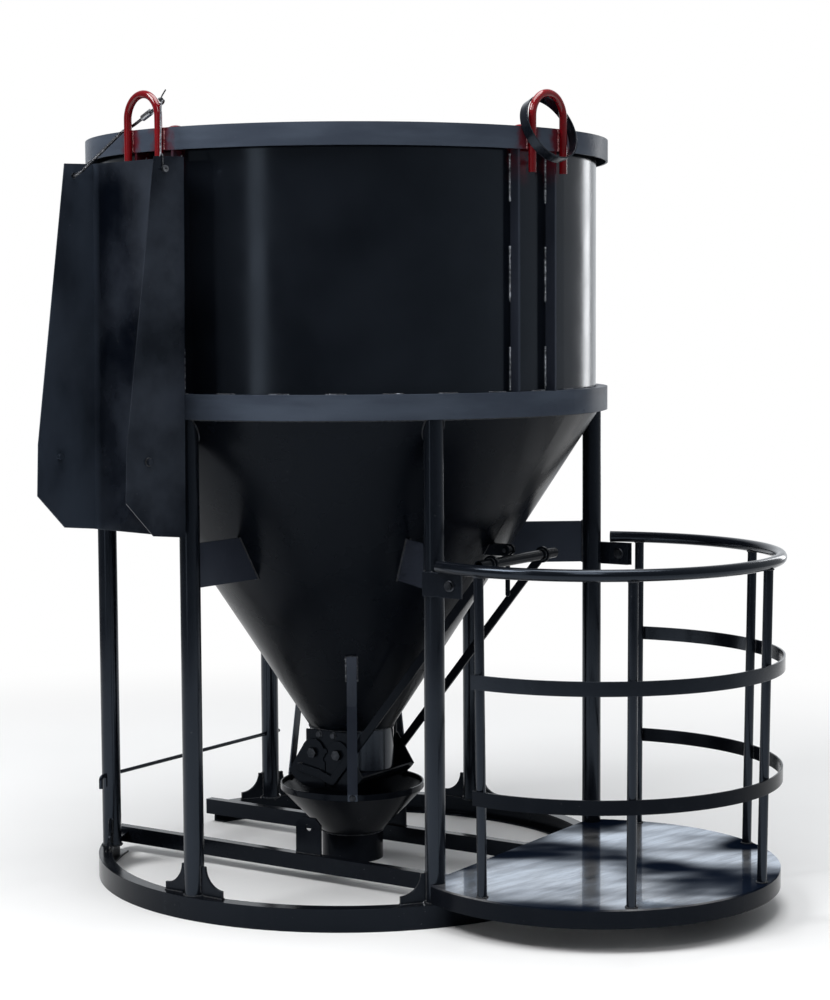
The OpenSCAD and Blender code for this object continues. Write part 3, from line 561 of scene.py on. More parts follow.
FERRULE = Metal("ferrule_bright", (0.46, 0.47, 0.49), (0.22, 0.23, 0.25), (0.22, 0.36), rust=0.05)
WELD = WeldMetal("weld_beads", (0.62, 0.65, 0.70), (0.020, 0.024, 0.032), 0.50)
DULL_WELD = WeldMetal("weld_beads_dull", (0.30, 0.32, 0.36), (0.014, 0.017, 0.024), 0.56)
DARK_WELD = WeldMetal("weld_beads_painted", (0.060, 0.068, 0.082), (0.0070, 0.0085, 0.0120), 0.55)
RED_WELD = WeldMetal("weld_beads_red", (0.55, 0.30, 0.31), (0.19, 0.006, 0.010), 0.52)


class Wardrobe:
    """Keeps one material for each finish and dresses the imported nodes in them."""

    def __init__(self) -> None:
        """Starts with nothing made."""
        self.made: dict[str, bpy.types.Material] = {}

    def get(self, finish: Finish) -> bpy.types.Material:
        """Gives a finish's material, made on first use.

        Args:
            finish: The finish.

        Returns:
            Its material.
        """
        if finish.name not in self.made:
            self.made[finish.name] = finish.material()
        return self.made[finish.name]

    def dress(self, finish: Finish, names: Sequence[str]) -> None:
        """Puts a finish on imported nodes.

        Args:
            finish: The finish.
            names: Names of the nodes.
        """
        for name in names:
            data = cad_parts[name].data
            data.materials.clear()
            data.materials.append(self.get(finish))
            LOG.info("dressed %s in %s", name, finish.name)


# Geometry nodes


class NodeTree:
    """Geometry node tree under construction, with named inputs for its sizes."""

    kinds: ClassVar[dict[type, str]] = {
        float: "NodeSocketFloat",
        int: "NodeSocketInt",
        tuple: "NodeSocketVector",
        type(None): "NodeSocketMaterial",
    }

    def __init__(self, name: str, inputs: dict[str, Any]) -> None:
        """Makes the tree and its sockets.

        Args:
            name: Name of the tree.
            inputs: Default by the input's name, None for a material.
        """
        self.tree = bpy.data.node_groups.new(name, "GeometryNodeTree")
        face = self.tree.interface
        face.new_socket("Geometry", in_out="INPUT", socket_type="NodeSocketGeometry")
        for label, default in inputs.items():
            socket = face.new_socket(label, in_out="INPUT", socket_type=self.kinds[type(default)])
            if default is not None:
                socket.default_value = default
        face.new_socket("Geometry", in_out="OUTPUT", socket_type="NodeSocketGeometry")
        self.source = self.tree.nodes.new("NodeGroupInput")

    def add(self, kind: str, wires: dict[Any, Any], **settings: Any) -> bpy.types.Node:
        """Adds a node and feeds its inputs.

        Args:
            kind: Blender's type name of the node.
            wires: Output socket or constant by the input's name or index.
            settings: Properties of the node to set.

        Returns:
            The new node.
        """
        node = self.tree.nodes.new(kind)
        for key, value in settings.items():
            setattr(node, key, value)
        for key, value in wires.items():
            if isinstance(value, Socket):
                self.tree.links.new(value, node.inputs[key])
            else:
                node.inputs[key].default_value = value
        return node

    def given(self, label: str) -> Socket:
        """Gives one of the tree's own inputs."""
        return self.source.outputs[label]

    def line(self) -> bpy.types.Node:
        """Adds the paths that the tree is given, cut into even steps.

        Returns:
            The node that gives them as curves.
        """
        curve = self.add("GeometryNodeMeshToCurve", {"Mesh": self.given("Geometry")})
        steps = {"Curve": curve.outputs[0], "Length": self.given("Step")}
        return self.add("GeometryNodeResampleCurve", steps, mode="LENGTH")

    def circle(self, sides: int, radius: str) -> bpy.types.Node:
        """Adds a circle.

        Args:
            sides: Number of its straight sides.
            radius: Name of the input that sets its radius.

        Returns:
            The node that gives it as a curve.
        """
        sizes = {"Resolution": sides, "Radius": self.given(radius)}
        return self.add("GeometryNodeCurvePrimitiveCircle", sizes)

    def close(self, geometry: Socket) -> bpy.types.NodeTree:
        """Ends the tree in real, smooth faces with the material that the tree is given.

        Args:
            geometry: What the tree made.

        Returns:
            The finished tree.
        """
        real = self.add("GeometryNodeRealizeInstances", {0: geometry})
        smooth = self.add("GeometryNodeSetShadeSmooth", {"Geometry": real.outputs[0], "Shade Smooth": True})
        dressed = {"Geometry": smooth.outputs[0], "Material": self.given("Finish")}
        painted = self.add("GeometryNodeSetMaterial", dressed)
        self.add("NodeGroupOutput", {0: painted.outputs[0]})
        return self.tree


def bead_tree() -> bpy.types.NodeTree:
    """Builds the tree that lays a rippled weld bead along each path.

    Returns:
        The tree.
    """
    made = NodeTree("weld_bead", {
        "Step": 0.004, "Radius": 0.003, "Least Size": (0.80, 0.80, 0.62), "Most Size": (1.18, 1.18, 0.85),
        "Seed": 7, "Finish": None,
    })
    segments, rings = 8, 4
    sizes = {"Segments": segments, "Rings": rings, "Radius": made.given("Radius")}
    ball = made.add("GeometryNodeMeshUVSphere", sizes)
    along = made.add("GeometryNodeInputTangent", {})
    aim = made.add("FunctionNodeAlignRotationToVector", {"Vector": along.outputs[0]}, axis="Z")
    limits = {0: made.given("Least Size"), 1: made.given("Most Size"), "Seed": made.given("Seed")}
    size = made.add("FunctionNodeRandomValue", limits, data_type="FLOAT_VECTOR")
    row = made.add("GeometryNodeInstanceOnPoints", {
        "Points": made.line().outputs[0], "Instance": ball.outputs[0],
        "Rotation": aim.outputs[0], "Scale": size.outputs[0],
    })
    return made.close(row.outputs[0])


def rope_tree() -> bpy.types.NodeTree:
    """Builds the tree that lays twisted strands along a path.

    Returns:
        The tree.
    """
    made = NodeTree("wire_rope", {
        "Step": 0.003, "Lay Radius": 0.002, "Strand Radius": 0.001, "Turn Per Metre": 110.0,
        "Thin From": 10.0, "Thin Over": 0.014, "Thin Scale": 1.0, "Finish": None,
    })
    strands, strand_sides = 6, 6
    run = made.add("GeometryNodeSplineParameter", {}).outputs["Length"]
    twist = made.add("ShaderNodeMath", {0: run, 1: made.given("Turn Per Metre")}, operation="MULTIPLY")
    tilt = {"Curve": made.line().outputs[0], "Tilt": twist.outputs[0]}
    wound = made.add("GeometryNodeSetCurveTilt", tilt)
    lay = made.circle(strands, "Lay Radius")
    strand = made.circle(strand_sides, "Strand Radius")
    spread = {"Points": lay.outputs[0], "Instance": strand.outputs[0]}
    ring = made.add("GeometryNodeInstanceOnPoints", spread)
    profile = made.add("GeometryNodeRealizeInstances", {0: ring.outputs[0]})
    ends = {0: made.given("Thin From"), 1: made.given("Thin Over")}
    thinned = made.add("ShaderNodeMath", ends, operation="ADD")
    scale = made.add("ShaderNodeMapRange", {
        "Value": run, "From Min": made.given("Thin From"), "From Max": thinned.outputs[0],
        "To Min": 1.0, "To Max": made.given("Thin Scale"),
    })
    body = made.add("GeometryNodeCurveToMesh", {
        "Curve": wound.outputs[0], "Profile Curve": profile.outputs[0],
        "Scale": scale.outputs["Result"], "Fill Caps": True,
    })
    return made.close(body.outputs[0])


def washer_tree() -> bpy.types.NodeTree:
    """Builds the tree that puts a washer on each point, facing along its aim attribute.

    Returns:
        The tree.
    """
    made = NodeTree("washer", {"Radius": 0.012, "Width": 0.006, "Thickness": 0.002, "Finish": None})
    washer_sides = 28
    way = made.add("GeometryNodeInputNamedAttribute", {"Name": "aim"}, data_type="FLOAT_VECTOR")
    aim = made.add("FunctionNodeAlignRotationToVector", {"Vector": way.outputs[0]}, axis="Z")
    path = made.circle(washer_sides, "Radius")
    section = {"Width": made.given("Width"), "Height": made.given("Thickness")}
    edge = made.add("GeometryNodeCurvePrimitiveQuadrilateral", section)
    swept = {"Curve": path.outputs[0], "Profile Curve": edge.outputs[0], "Fill Caps": False}
    ring = made.add("GeometryNodeCurveToMesh", swept)
    row = made.add("GeometryNodeInstanceOnPoints", {
        "Points": made.given("Geometry"), "Instance": ring.outputs[0], "Rotation": aim.outputs[0],
    })
    return made.close(row.outputs[0])


@dataclass(frozen=True)
class Bead:
    """Weld bead: half its width, how far its middle stands off the steel, and its finish."""

    radius: float
    proud: float = 0.001
    finish: WeldMetal = DARK_WELD
    slot: Slot = Slot.BLACK


@dataclass(frozen=True)
class Washer:
    """Flat washer: radius of the middle of its ring, the ring's width and its thickness."""

    radius: float
    width: float
    thick: float


@dataclass(frozen=True)
class Rope:
    """Laid wire: half its thickness, its twist in radians per metre and the spacing of its rings.

    A wire that thins does so from a distance along it, to a share of its thickness.
    """

    radius: float
    twist: float
    step: float
    thin_from: float = 10.0
    thin_scale: float = 1.0


class Shop:
    """Makes finished pieces from the trees and rides them on bodies."""

    bead_spacing: ClassVar[float] = 1.25
    strand_share: ClassVar[float] = 3.0

    def __init__(self, wardrobe: Wardrobe) -> None:
        """Builds the trees.

        Args:
            wardrobe: Source of the materials.
        """
        self.wardrobe = wardrobe
        self.beads = bead_tree()
        self.ropes = rope_tree()
        self.washers = washer_tree()

    def start(self, name: str, runs: Sequence[Path]) -> bpy.types.Object:
        """Makes an object of bare lines.

        Args:
            name: Name of the piece.
            runs: Points of each line.

        Returns:
            The object.
        """
        points: list[Vector] = []
        edges: list[tuple[int, int]] = []
        for run in runs:
            first = len(points)
            points.extend(run)
            edges.extend((first + i, first + i + 1) for i in range(len(run) - 1))
        mesh = bpy.data.meshes.new(name)
        mesh.from_pydata(points, edges, [])
        piece = bpy.data.objects.new(name, mesh)
        bpy.context.scene.collection.objects.link(piece)
        return piece

    def run_tree(self, piece: bpy.types.Object, tree: bpy.types.NodeTree, values: dict[str, Any]) -> None:
        """Runs a tree on a piece and keeps the result as its plain mesh.

        Args:
            piece: The object that carries the tree's input.
            tree: The tree.
            values: Value by the input's name.
        """
        modifier = piece.modifiers.new(tree.name, "NODES")
        modifier.node_group = tree
        for item in tree.interface.items_tree:
            if item.in_out == "INPUT" and item.name in values:
                modifier[item.identifier] = values[item.name]
        graph = bpy.context.evaluated_depsgraph_get()
        mesh = bpy.data.meshes.new_from_object(piece.evaluated_get(graph), depsgraph=graph)
        piece.modifiers.clear()
        piece.data = mesh
        mesh.name = piece.name

    def seat(self, piece: bpy.types.Object, body: Body, slot: Slot) -> None:
        """Rides a finished piece on its body.

        Args:
            piece: The piece.
            body: The body that carries it.
            slot: Not used.
        """
        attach(piece, body.value)
        LOG.info("%s rides on %s, %d faces", piece.name, body.value, len(piece.data.polygons))

    def weld(self, name: str, runs: Sequence[Path], bead: Bead, body: Body = Body.FRAME) -> None:
        """Lays weld beads along paths.

        Args:
            name: Name of the piece.
            runs: Points of each bead.
            bead: Kind of bead.
            body: The body that carries it.
        """
        piece = self.start(name, runs)
        self.run_tree(piece, self.beads, {
            "Step": bead.radius * self.bead_spacing, "Radius": bead.radius, "Seed": len(name),
            "Finish": self.wardrobe.get(bead.finish),
        })
        self.seat(piece, body, bead.slot)

    def washer(self, name: str, spots: Sequence[tuple[Vector, Vector]], kind: Washer) -> None:
        """Puts washers under bolt heads of the frame.

        Args:
            name: Name of the piece.
            spots: Middle and facing direction of each washer.
            kind: Kind of washer.
        """
        piece = self.start(name, [[middle] for middle, _ in spots])
        aim = piece.data.attributes.new("aim", "FLOAT_VECTOR", "POINT")
        for item, (_, way) in zip(aim.data, spots):
            item.vector = way
        self.run_tree(piece, self.washers, {
            "Radius": kind.radius, "Width": kind.width, "Thickness": kind.thick,
            "Finish": self.wardrobe.get(BOLT),
        })
        self.seat(piece, Body.FRAME, Slot.STEEL)

    def rope(self, name: str, runs: Sequence[Path], kind: Rope) -> bpy.types.Object:
        """Lays wire along paths.

        Args:
            name: Name of the piece.
            runs: Points of each wire.
            kind: Kind of wire.

        Returns:
            The piece, not yet on a body.
        """
        piece = self.start(name, runs)
        strand = kind.radius / self.strand_share
        self.run_tree(piece, self.ropes, {
            "Step": kind.step, "Lay Radius": kind.radius - strand, "Strand Radius": strand,
            "Turn Per Metre": kind.twist, "Thin From": kind.thin_from, "Thin Scale": kind.thin_scale,
            "Finish": self.wardrobe.get(WIRE),
        })
        return piece


# Paths


def polar(radius: float, angle: float, height: float, aside: float = 0.0) -> Vector:
    """Gives a point by its place around the barrel's axis.

    Args:
        radius: Distance from the axis, along the angle.
        angle: Angle from +X in degrees.
        height: Height above the ground.
        aside: Distance sideways, towards growing angles.

    Returns:
        The point.
    """
    turn = math.radians(angle)
    return Vector((radius * math.cos(turn) - aside * math.sin(turn),
                   radius * math.sin(turn) + aside * math.cos(turn), height))


def upright(radius: float, angle: float, low: float, high: float, aside: float) -> Path:
    """Gives an upright line by its place around the barrel's axis.

    Args:
        radius: Distance from the axis, along the angle.
        angle: Angle from +X in degrees.
        low: Height of its lower end.
        high: Height of its upper end.
        aside: Distance sideways, towards growing angles.

    Returns:
        Its two ends.
    """
    return [polar(radius, angle, height, aside) for height in (low, high)]


def arc(
    middle: Vector, radius: float, start: float, end: float, steps: int, lift: Vector | None = None,
    out: Vector | None = None,
) -> Path:
    """Gives points on an arc.

    Args:
        middle: Centre of the arc.
        radius: Its radius.
        start: First angle in degrees.
        end: Last angle in degrees.
        steps: Number of straight steps.
        lift: Second direction of the arc's plane, +Y where not given.
        out: First direction of the arc's plane, +X where not given.

    Returns:
        The points.
    """
    first = out or Vector((1.0, 0.0, 0.0))
    second = lift or Vector((0.0, 1.0, 0.0))
    turns = [math.radians(start + (end - start) * i / steps) for i in range(steps + 1)]
    return [middle + radius * (math.cos(t) * first + math.sin(t) * second) for t in turns]


def circle(
    middle: Vector, radius: float, steps: int, lift: Vector | None = None, out: Vector | None = None
) -> Path:
    """Gives points all the way round, the first one again at the end.

    Args:
        middle: Centre of the circle.
        radius: Its radius.
        steps: Number of straight steps.
        lift: Second direction of the circle's plane, +Y where not given.
        out: First direction of the circle's plane, +X where not given.

    Returns:
        The points.
    """
    return arc(middle, radius, 0.0, FULL_TURN, steps, lift, out)


def softened(points: Sequence[Vector], step: float, passes: int) -> Path:
    """Rounds the corners of a path.

    Args:
        points: Corner points.
        step: Spacing of the new points.
        passes: Number of averaging passes.

    Returns:
        The rounded path, with its ends kept.
    """
    path: Path = []
    for a, b in zip(points, points[1:]):
        count = max(1, round((b - a).length / step))
        path.extend(a.lerp(b, i / count) for i in range(count))
    path.append(points[-1].copy())
    for _ in range(passes):
        inner = [(path[i - 1] + 2.0 * path[i] + path[i + 1]) / 4.0 for i in range(1, len(path) - 1)]
        path = [path[0], *inner, path[-1]]
    return path


def length_of(path: Sequence[Vector]) -> float:
    """Measures a path along its straight steps."""
    return sum((b - a).length for a, b in zip(path, path[1:]))


# Sub-assemblies


@dataclass
class SubAssembly:
    """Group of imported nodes, with the pieces that the scene adds to them."""

    shop: Shop
    looks: ClassVar[Looks] = ()

    def dress(self) -> None:
        """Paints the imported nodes."""
        for finish, names in self.looks:
            self.shop.wardrobe.dress(finish, names)


@dataclass
class Vessel(SubAssembly):
    """Barrel, cone, neck, hoops and the upright ribs."""

    barrel_r: float = 0.745
    girth_low: float = 1.403
    girth_top: float = 1.472
    cone_r: float = 0.755
    neck_r: float = 0.129
    neck_top: float = 0.437
    lug_angle: float = -10.5
    rib_half_angle: float = 5.5
    rib_turn: float = 2.0
    rib_side: float = 0.0055
    rib_runs: tuple[tuple[float, float], ...] = ((1.478, 1.594), (1.722, 1.872), (1.998, 2.124))
    rib_bead: Bead = Bead(0.0032, 0.0012, WELD)
    stitch: float = 4.2
    stitch_every: float = 12.0
    stitch_steps: int = 6
    stitch_lift: float = 0.0005
    stitch_bead: Bead = Bead(0.0028, 0.0015, DULL_WELD)
    seam_drop: float = 0.0012
    seam_steps: int = 180
    seam_bead: Bead = Bead(0.0034, 0.0015)
    throat_steps: int = 72
    throat_bead: Bead = Bead(0.0030, 0.0010)
    looks: ClassVar[Looks] = (
        (SHELL, ("barrel",)),
        (CONE, ("cone",)),
        (TUBE, ("neck",)),
        (PAINTED_SHEEN, ("rim_hoop", "girth_hoop")),
        (RIB_PAINTED_LIGHT, ("lug_ribs",)),
    )

    def slope(self) -> float:
        """Gives the growth of the cone's radius with height."""
        return (self.cone_r - self.neck_r) / (self.girth_low - self.neck_top)

    def cone_at(self, height: float) -> float:
        """Gives the cone's outer radius at a height."""
        return self.neck_r + (height - self.neck_top) * self.slope()

    def cone_height(self, radius: float) -> float:
        """Gives the height at which the cone has an outer radius."""
        return self.neck_top + (radius - self.neck_r) / self.slope()

    def rib_angles(self) -> list[float]:
        """Gives the angles of the eight ribs, a pair below each lug.

        Returns:
            The angles in degrees.
        """
        angles = []
        for i in range(LUGS):
            middle = self.lug_angle - LUG_STEP * i + (self.rib_turn if i % 2 else -self.rib_turn)
            angles.extend(middle + side * self.rib_half_angle for side in SIDES)
        return angles

    def build(self) -> None:
        """Lays the welds of the ribs, the hoops and the cone."""
        at_rib = self.barrel_r + self.rib_bead.proud
        ribs = [upright(at_rib, angle, low, high, side * self.rib_side)
                for angle in self.rib_angles() for side in SIDES for low, high in self.rib_runs]
        self.shop.weld("rib_welds", ribs, self.rib_bead)
        centre = Vector((0.0, 0.0, self.girth_top + self.stitch_lift))
        at_stitch = self.barrel_r + self.stitch_bead.proud
        starts = [i * self.stitch_every for i in range(round(FULL_TURN / self.stitch_every))]
        stitches = [arc(centre, at_stitch, turn, turn + self.stitch, self.stitch_steps) for turn in starts]
        self.shop.weld("girth_stitches", stitches, self.stitch_bead)
        below = Vector((0.0, 0.0, self.girth_low - self.seam_drop))
        seam = circle(below, self.cone_r + self.seam_bead.proud, self.seam_steps)
        self.shop.weld("cone_seam", [seam], self.seam_bead)
        top = Vector((0.0, 0.0, self.neck_top))
        throat = circle(top, self.neck_r + self.throat_bead.proud, self.throat_steps)
        self.shop.weld("neck_seam", [throat], self.throat_bead)


@dataclass
class Lugs(SubAssembly):
    """Four lifting lugs of bent round bar, with their welds, and the loose band ring."""

    angle: float = -10.5
    half_span: float = 0.0655
    hoop_r: float = 0.780
    weld_aside: float = 0.0098
    weld_low: float = 2.141
    weld_high: float = 2.198
    bead: Bead = Bead(0.0036, 0.0008, RED_WELD, Slot.RED)
    looks: ClassVar[Looks] = (
        (RED, ("lug_cradle", "lug_near", "lug_pour", "lug_far")),
        (TUBE, ("lug_ring",)),
    )

    def build(self) -> None:
        """Lays a weld on both sides of each leg."""
        runs = []
        asides = [side * self.half_span + edge * self.weld_aside for side in SIDES for edge in SIDES]
        for i in range(LUGS):
            turn = self.angle + LUG_STEP * i
            for aside in asides:
                radius = math.sqrt((self.hoop_r + self.bead.proud) ** 2 - aside ** 2)
                runs.append(upright(radius, turn, self.weld_low, self.weld_high, aside))
        self.shop.weld("lug_welds", runs, self.bead)


@dataclass
class UnderFrame(SubAssembly):
    """Six tube legs, base ring, rails, ties, gussets, brackets and the sling rod."""

    vessel: Vessel
    leg_r: float = 0.0285
    circle_r: float = 0.741
    ring_h: float = 0.065
    angles: tuple[float, ...] = (37.2, 92.1, 146.8)
    head_from: float = 60.0
    head_sweep: float = 240.0
    head_steps: int = 36
    head_grow: float = 1.04
    head_bead: Bead = Bead(0.0032)
    foot_steps: int = 40
    foot_bead: Bead = Bead(0.0032)
    gusset_l: float = 0.075
    gusset_h: float = 0.085
    gusset_side: float = 0.0052
    gusset_notch: float = 0.012
    gusset_lift: float = 0.0012
    tie_low: float = 0.930
    tie_high: float = 1.055
    tie_side: float = 0.0060
    tie_gap: float = 0.0005
    tie_bead: Bead = Bead(0.0036)
    rail_y: float = 0.2295
    rail_top: float = 0.079
    bracket_half: float = 0.043
    bracket_side: float = 0.0050
    bracket_bead: Bead = Bead(0.0030)
    looks: ClassVar[Looks] = (
        (TUBE, ("leg_cradle_near", "leg_cradle_far", "leg_mid_near", "leg_mid_far", "leg_pour_near",
                "leg_pour_far", "sling_rod")),
        (RIB_PAINTED_LIGHT, ("tie_plates",)),
        (BASE, ("foot_gussets", "chute_bracket_near", "chute_bracket_far", "rail_near", "rail_far",
                "base_ring")),
    )

    def saddle(self, angle: float) -> Path:
        """Gives the line on which a leg's head meets the cone.

        Args:
            angle: Angle of the leg.

        Returns:
            The points of the line.
        """
        path = []
        for i in range(self.head_steps + 1):
            turn = math.radians(self.head_from + self.head_sweep * i / self.head_steps)
            out, aside = self.leg_r * math.cos(turn), self.leg_r * math.sin(turn)
            cut = self.vessel.cone_height(math.hypot(self.circle_r + out, aside))
            height = min(cut, self.vessel.girth_low) - self.head_bead.proud
            path.append(polar(self.circle_r + self.head_grow * out, angle, height, self.head_grow * aside))
        return path

    def gusset_lines(self, angle: float, side: int) -> list[Path]:
        """Gives the weld lines of a foot gusset.

        Args:
            angle: Angle of the leg.
            side: 1 or -1 for the side of the leg.

        Returns:
            The lines along the leg and along the ring, on both faces.
        """
        lines = []
        at_leg = side * math.sqrt(self.leg_r ** 2 - self.gusset_side ** 2)
        near, far = at_leg + side * self.gusset_notch, side * (self.leg_r + self.gusset_l)
        for face in SIDES:
            out = self.circle_r + face * self.gusset_side
            top = self.ring_h + self.gusset_h
            lines.append(upright(out, angle, self.ring_h + self.gusset_notch, top, at_leg))
            lines.append([polar(out, angle, self.ring_h + self.gusset_lift, aside) for aside in (near, far)])
        return lines

    def tie_lines(self, angle: float) -> list[Path]:
        """Gives the weld lines of a tie plate.

        Args:
            angle: Angle of its leg.

        Returns:
            The lines along the leg and along the cone, on both faces.
        """
        lines = []
        at_leg = self.circle_r - self.leg_r - self.tie_gap
        heights = (self.tie_low, self.tie_high)
        for face in SIDES:
            aside = face * self.tie_side
            lines.append(upright(at_leg, angle, *heights, aside))
            lines.append([polar(self.vessel.cone_at(z) + self.tie_bead.proud, angle, z, aside)
                          for z in heights])
        return lines

    def build(self) -> None:
        """Lays the welds of legs, gussets, ties and brackets."""
        heads, feet, ties, brackets = [], [], [], []
        cradle, _, pour = self.angles
        for sign in SIDES:
            for angle in self.angles:
                turn = sign * angle
                heads.append(self.saddle(turn))
                foot = polar(self.circle_r, turn, self.ring_h + self.foot_bead.proud)
                feet.append(circle(foot, self.leg_r + self.foot_bead.proud, self.foot_steps))
                for side in (sign,) if angle == cradle else SIDES:
                    feet.extend(self.gusset_lines(turn, side))
                if angle != pour:
                    ties.extend(self.tie_lines(turn))
        self.shop.weld("leg_head_welds", heads, self.head_bead)
        self.shop.weld("leg_foot_welds", feet, self.foot_bead)
        self.shop.weld("tie_welds", ties, self.tie_bead)
        height = self.rail_top + self.bracket_bead.proud
        for side in SIDES:
            for face in SIDES:
                y = side * self.rail_y + face * self.bracket_side
                brackets.append([Vector((x, y, height)) for x in (-self.bracket_half, self.bracket_half)])
        self.shop.weld("bracket_welds", brackets, self.bracket_bead)


@dataclass
class Funnel(SubAssembly):
    """Catch funnel with its outlet, straps and bolts."""

    vessel: Vessel
    rim_r: float = 0.220
    outlet_r: float = 0.0935
    outlet_top: float = 0.112
    outlet_steps: int = 60
    outlet_bead: Bead = Bead(0.0030, 0.0006)
    strap_angles: tuple[float, ...] = (-55.0, 78.0, -177.0)
    strap_half: float = 0.0165
    strap_top: float = 0.690
    strap_weld_low: float = 0.610
    strap_out: float = 0.0054
    strap_bead: Bead = Bead(0.0034, finish=DULL_WELD)
    bolt_z: float = 0.254
    washer: Washer = Washer(0.0068, 0.0062, 0.0016)
    looks: ClassVar[Looks] = (
        (LOW, ("funnel_bowl", "funnel_outlet")),
        (RIB_PAINTED_LIGHT, ("funnel_strap_near", "funnel_strap_far", "funnel_strap_pour")),
        (BOLT, ("strap_bolts",)),
    )

    def build(self) -> None:
        """Lays the welds and puts washers under the bolt heads."""
        top = Vector((0.0, 0.0, self.outlet_top))
        outlet = circle(top, self.outlet_r + self.outlet_bead.proud, self.outlet_steps)
        self.shop.weld("outlet_weld", [outlet], self.outlet_bead)
        heights = (self.strap_weld_low, self.strap_top, self.strap_top, self.strap_weld_low)
        asides = (-self.strap_half, -self.strap_half, self.strap_half, self.strap_half)
        tops, spots = [], []
        for angle in self.strap_angles:
            tops.append([polar(self.vessel.cone_at(z) + self.strap_bead.proud, angle, z, aside)
                         for z, aside in zip(heights, asides)])
            spots.append((polar(self.rim_r + self.strap_out, angle, self.bolt_z), polar(1.0, angle, 0.0)))
        self.shop.weld("strap_welds", tops, self.strap_bead)
        self.shop.washer("strap_washers", spots, self.washer)


@dataclass
class Gate(SubAssembly):
    """Jaw gate on the neck with its hangers, pivots, lever and catch."""

    vessel: Vessel
    plate_y: float = 0.1423
    arm_out: float = 0.1503
    root_x: float = -0.090
    root_z: float = 0.318
    root_gap: float = 0.001
    root_wrap: tuple[float, float] = (80.0, 280.0)
    root_steps: int = 20
    arm_half: float = 0.0125
    knee_x: float = -0.020
    knee_z: float = 0.306
    grip_x: float = 0.590
    grip_z: float = 0.978
    grip_r: float = 0.015
    grip_steps: int = 28
    lever_bead: Bead = Bead(0.0028, 0.0008)
    bolt_x: float = 0.026
    bolt_z: float = 0.424
    bolt_y: float = 0.1353
    washer: Washer = Washer(0.0085, 0.0060, 0.0016)
    ear_y: float = 0.0185
    ear_half: float = 0.0045
    ear_low: float = 0.989
    ear_high: float = 1.017
    catch_bead: Bead = Bead(0.0026)
    looks: ClassVar[Looks] = (
        (LOW, ("gate_hanger_near", "gate_hanger_far", "catch_bracket", "jaw_pour_pan", "jaw_pour_plates",
               "jaw_cradle_pan", "jaw_cradle_plates", "lever_arm_near", "lever_arm_far", "lever_handle",
               "catch_bar")),
        (BOLT, ("hanger_bolts", "gate_pivots", "catch_pin")),
    )

    def lever_lines(self, side: int) -> tuple[Path, list[Path]]:
        """Gives the weld lines of one lever arm.

        Args:
            side: 1 or -1 for the arm's side.

        Returns:
            The line around its root, and the two around the crossbar.
        """
        lean = math.degrees(math.atan2(self.knee_z - self.root_z, self.knee_x - self.root_x))
        first, last = (lean + angle for angle in self.root_wrap)
        root = Vector((self.root_x, side * (self.plate_y + self.root_gap), self.root_z))
        around = arc(root, self.arm_half + self.lever_bead.proud, first, last, self.root_steps, lift=UP)
        middles = [Vector((self.grip_x, side * y, self.grip_z)) for y in (self.arm_out, self.plate_y)]
        grip_r = self.grip_r + self.lever_bead.proud
        return around, [circle(middle, grip_r, self.grip_steps, lift=UP) for middle in middles]

    def build(self) -> None:
        """Lays the welds of the lever and the catch, and puts washers on the hangers' bolts."""
        roots, grips, ears, spots = [], [], [], []
        for side in SIDES:
            root, ends = self.lever_lines(side)
            roots.append(root)
            grips.extend(ends)
            for face in SIDES:
                y = side * (self.ear_y - self.ear_half) + face * self.ear_half
                ears.append([Vector((self.vessel.cone_at(z) + self.catch_bead.proud, y, z))
                             for z in (self.ear_low, self.ear_high)])
            y = side * (self.bolt_y + 0.5 * self.washer.thick)
            spots.extend((Vector((x, y, self.bolt_z)), Vector((0.0, side, 0.0)))
                         for x in (-self.bolt_x, self.bolt_x))
        self.shop.weld("lever_welds", roots + grips, self.lever_bead, Body.GATE_POUR)
        self.shop.weld("catch_welds", ears, self.catch_bead)
        self.shop.washer("hanger_washers", spots, self.washer)


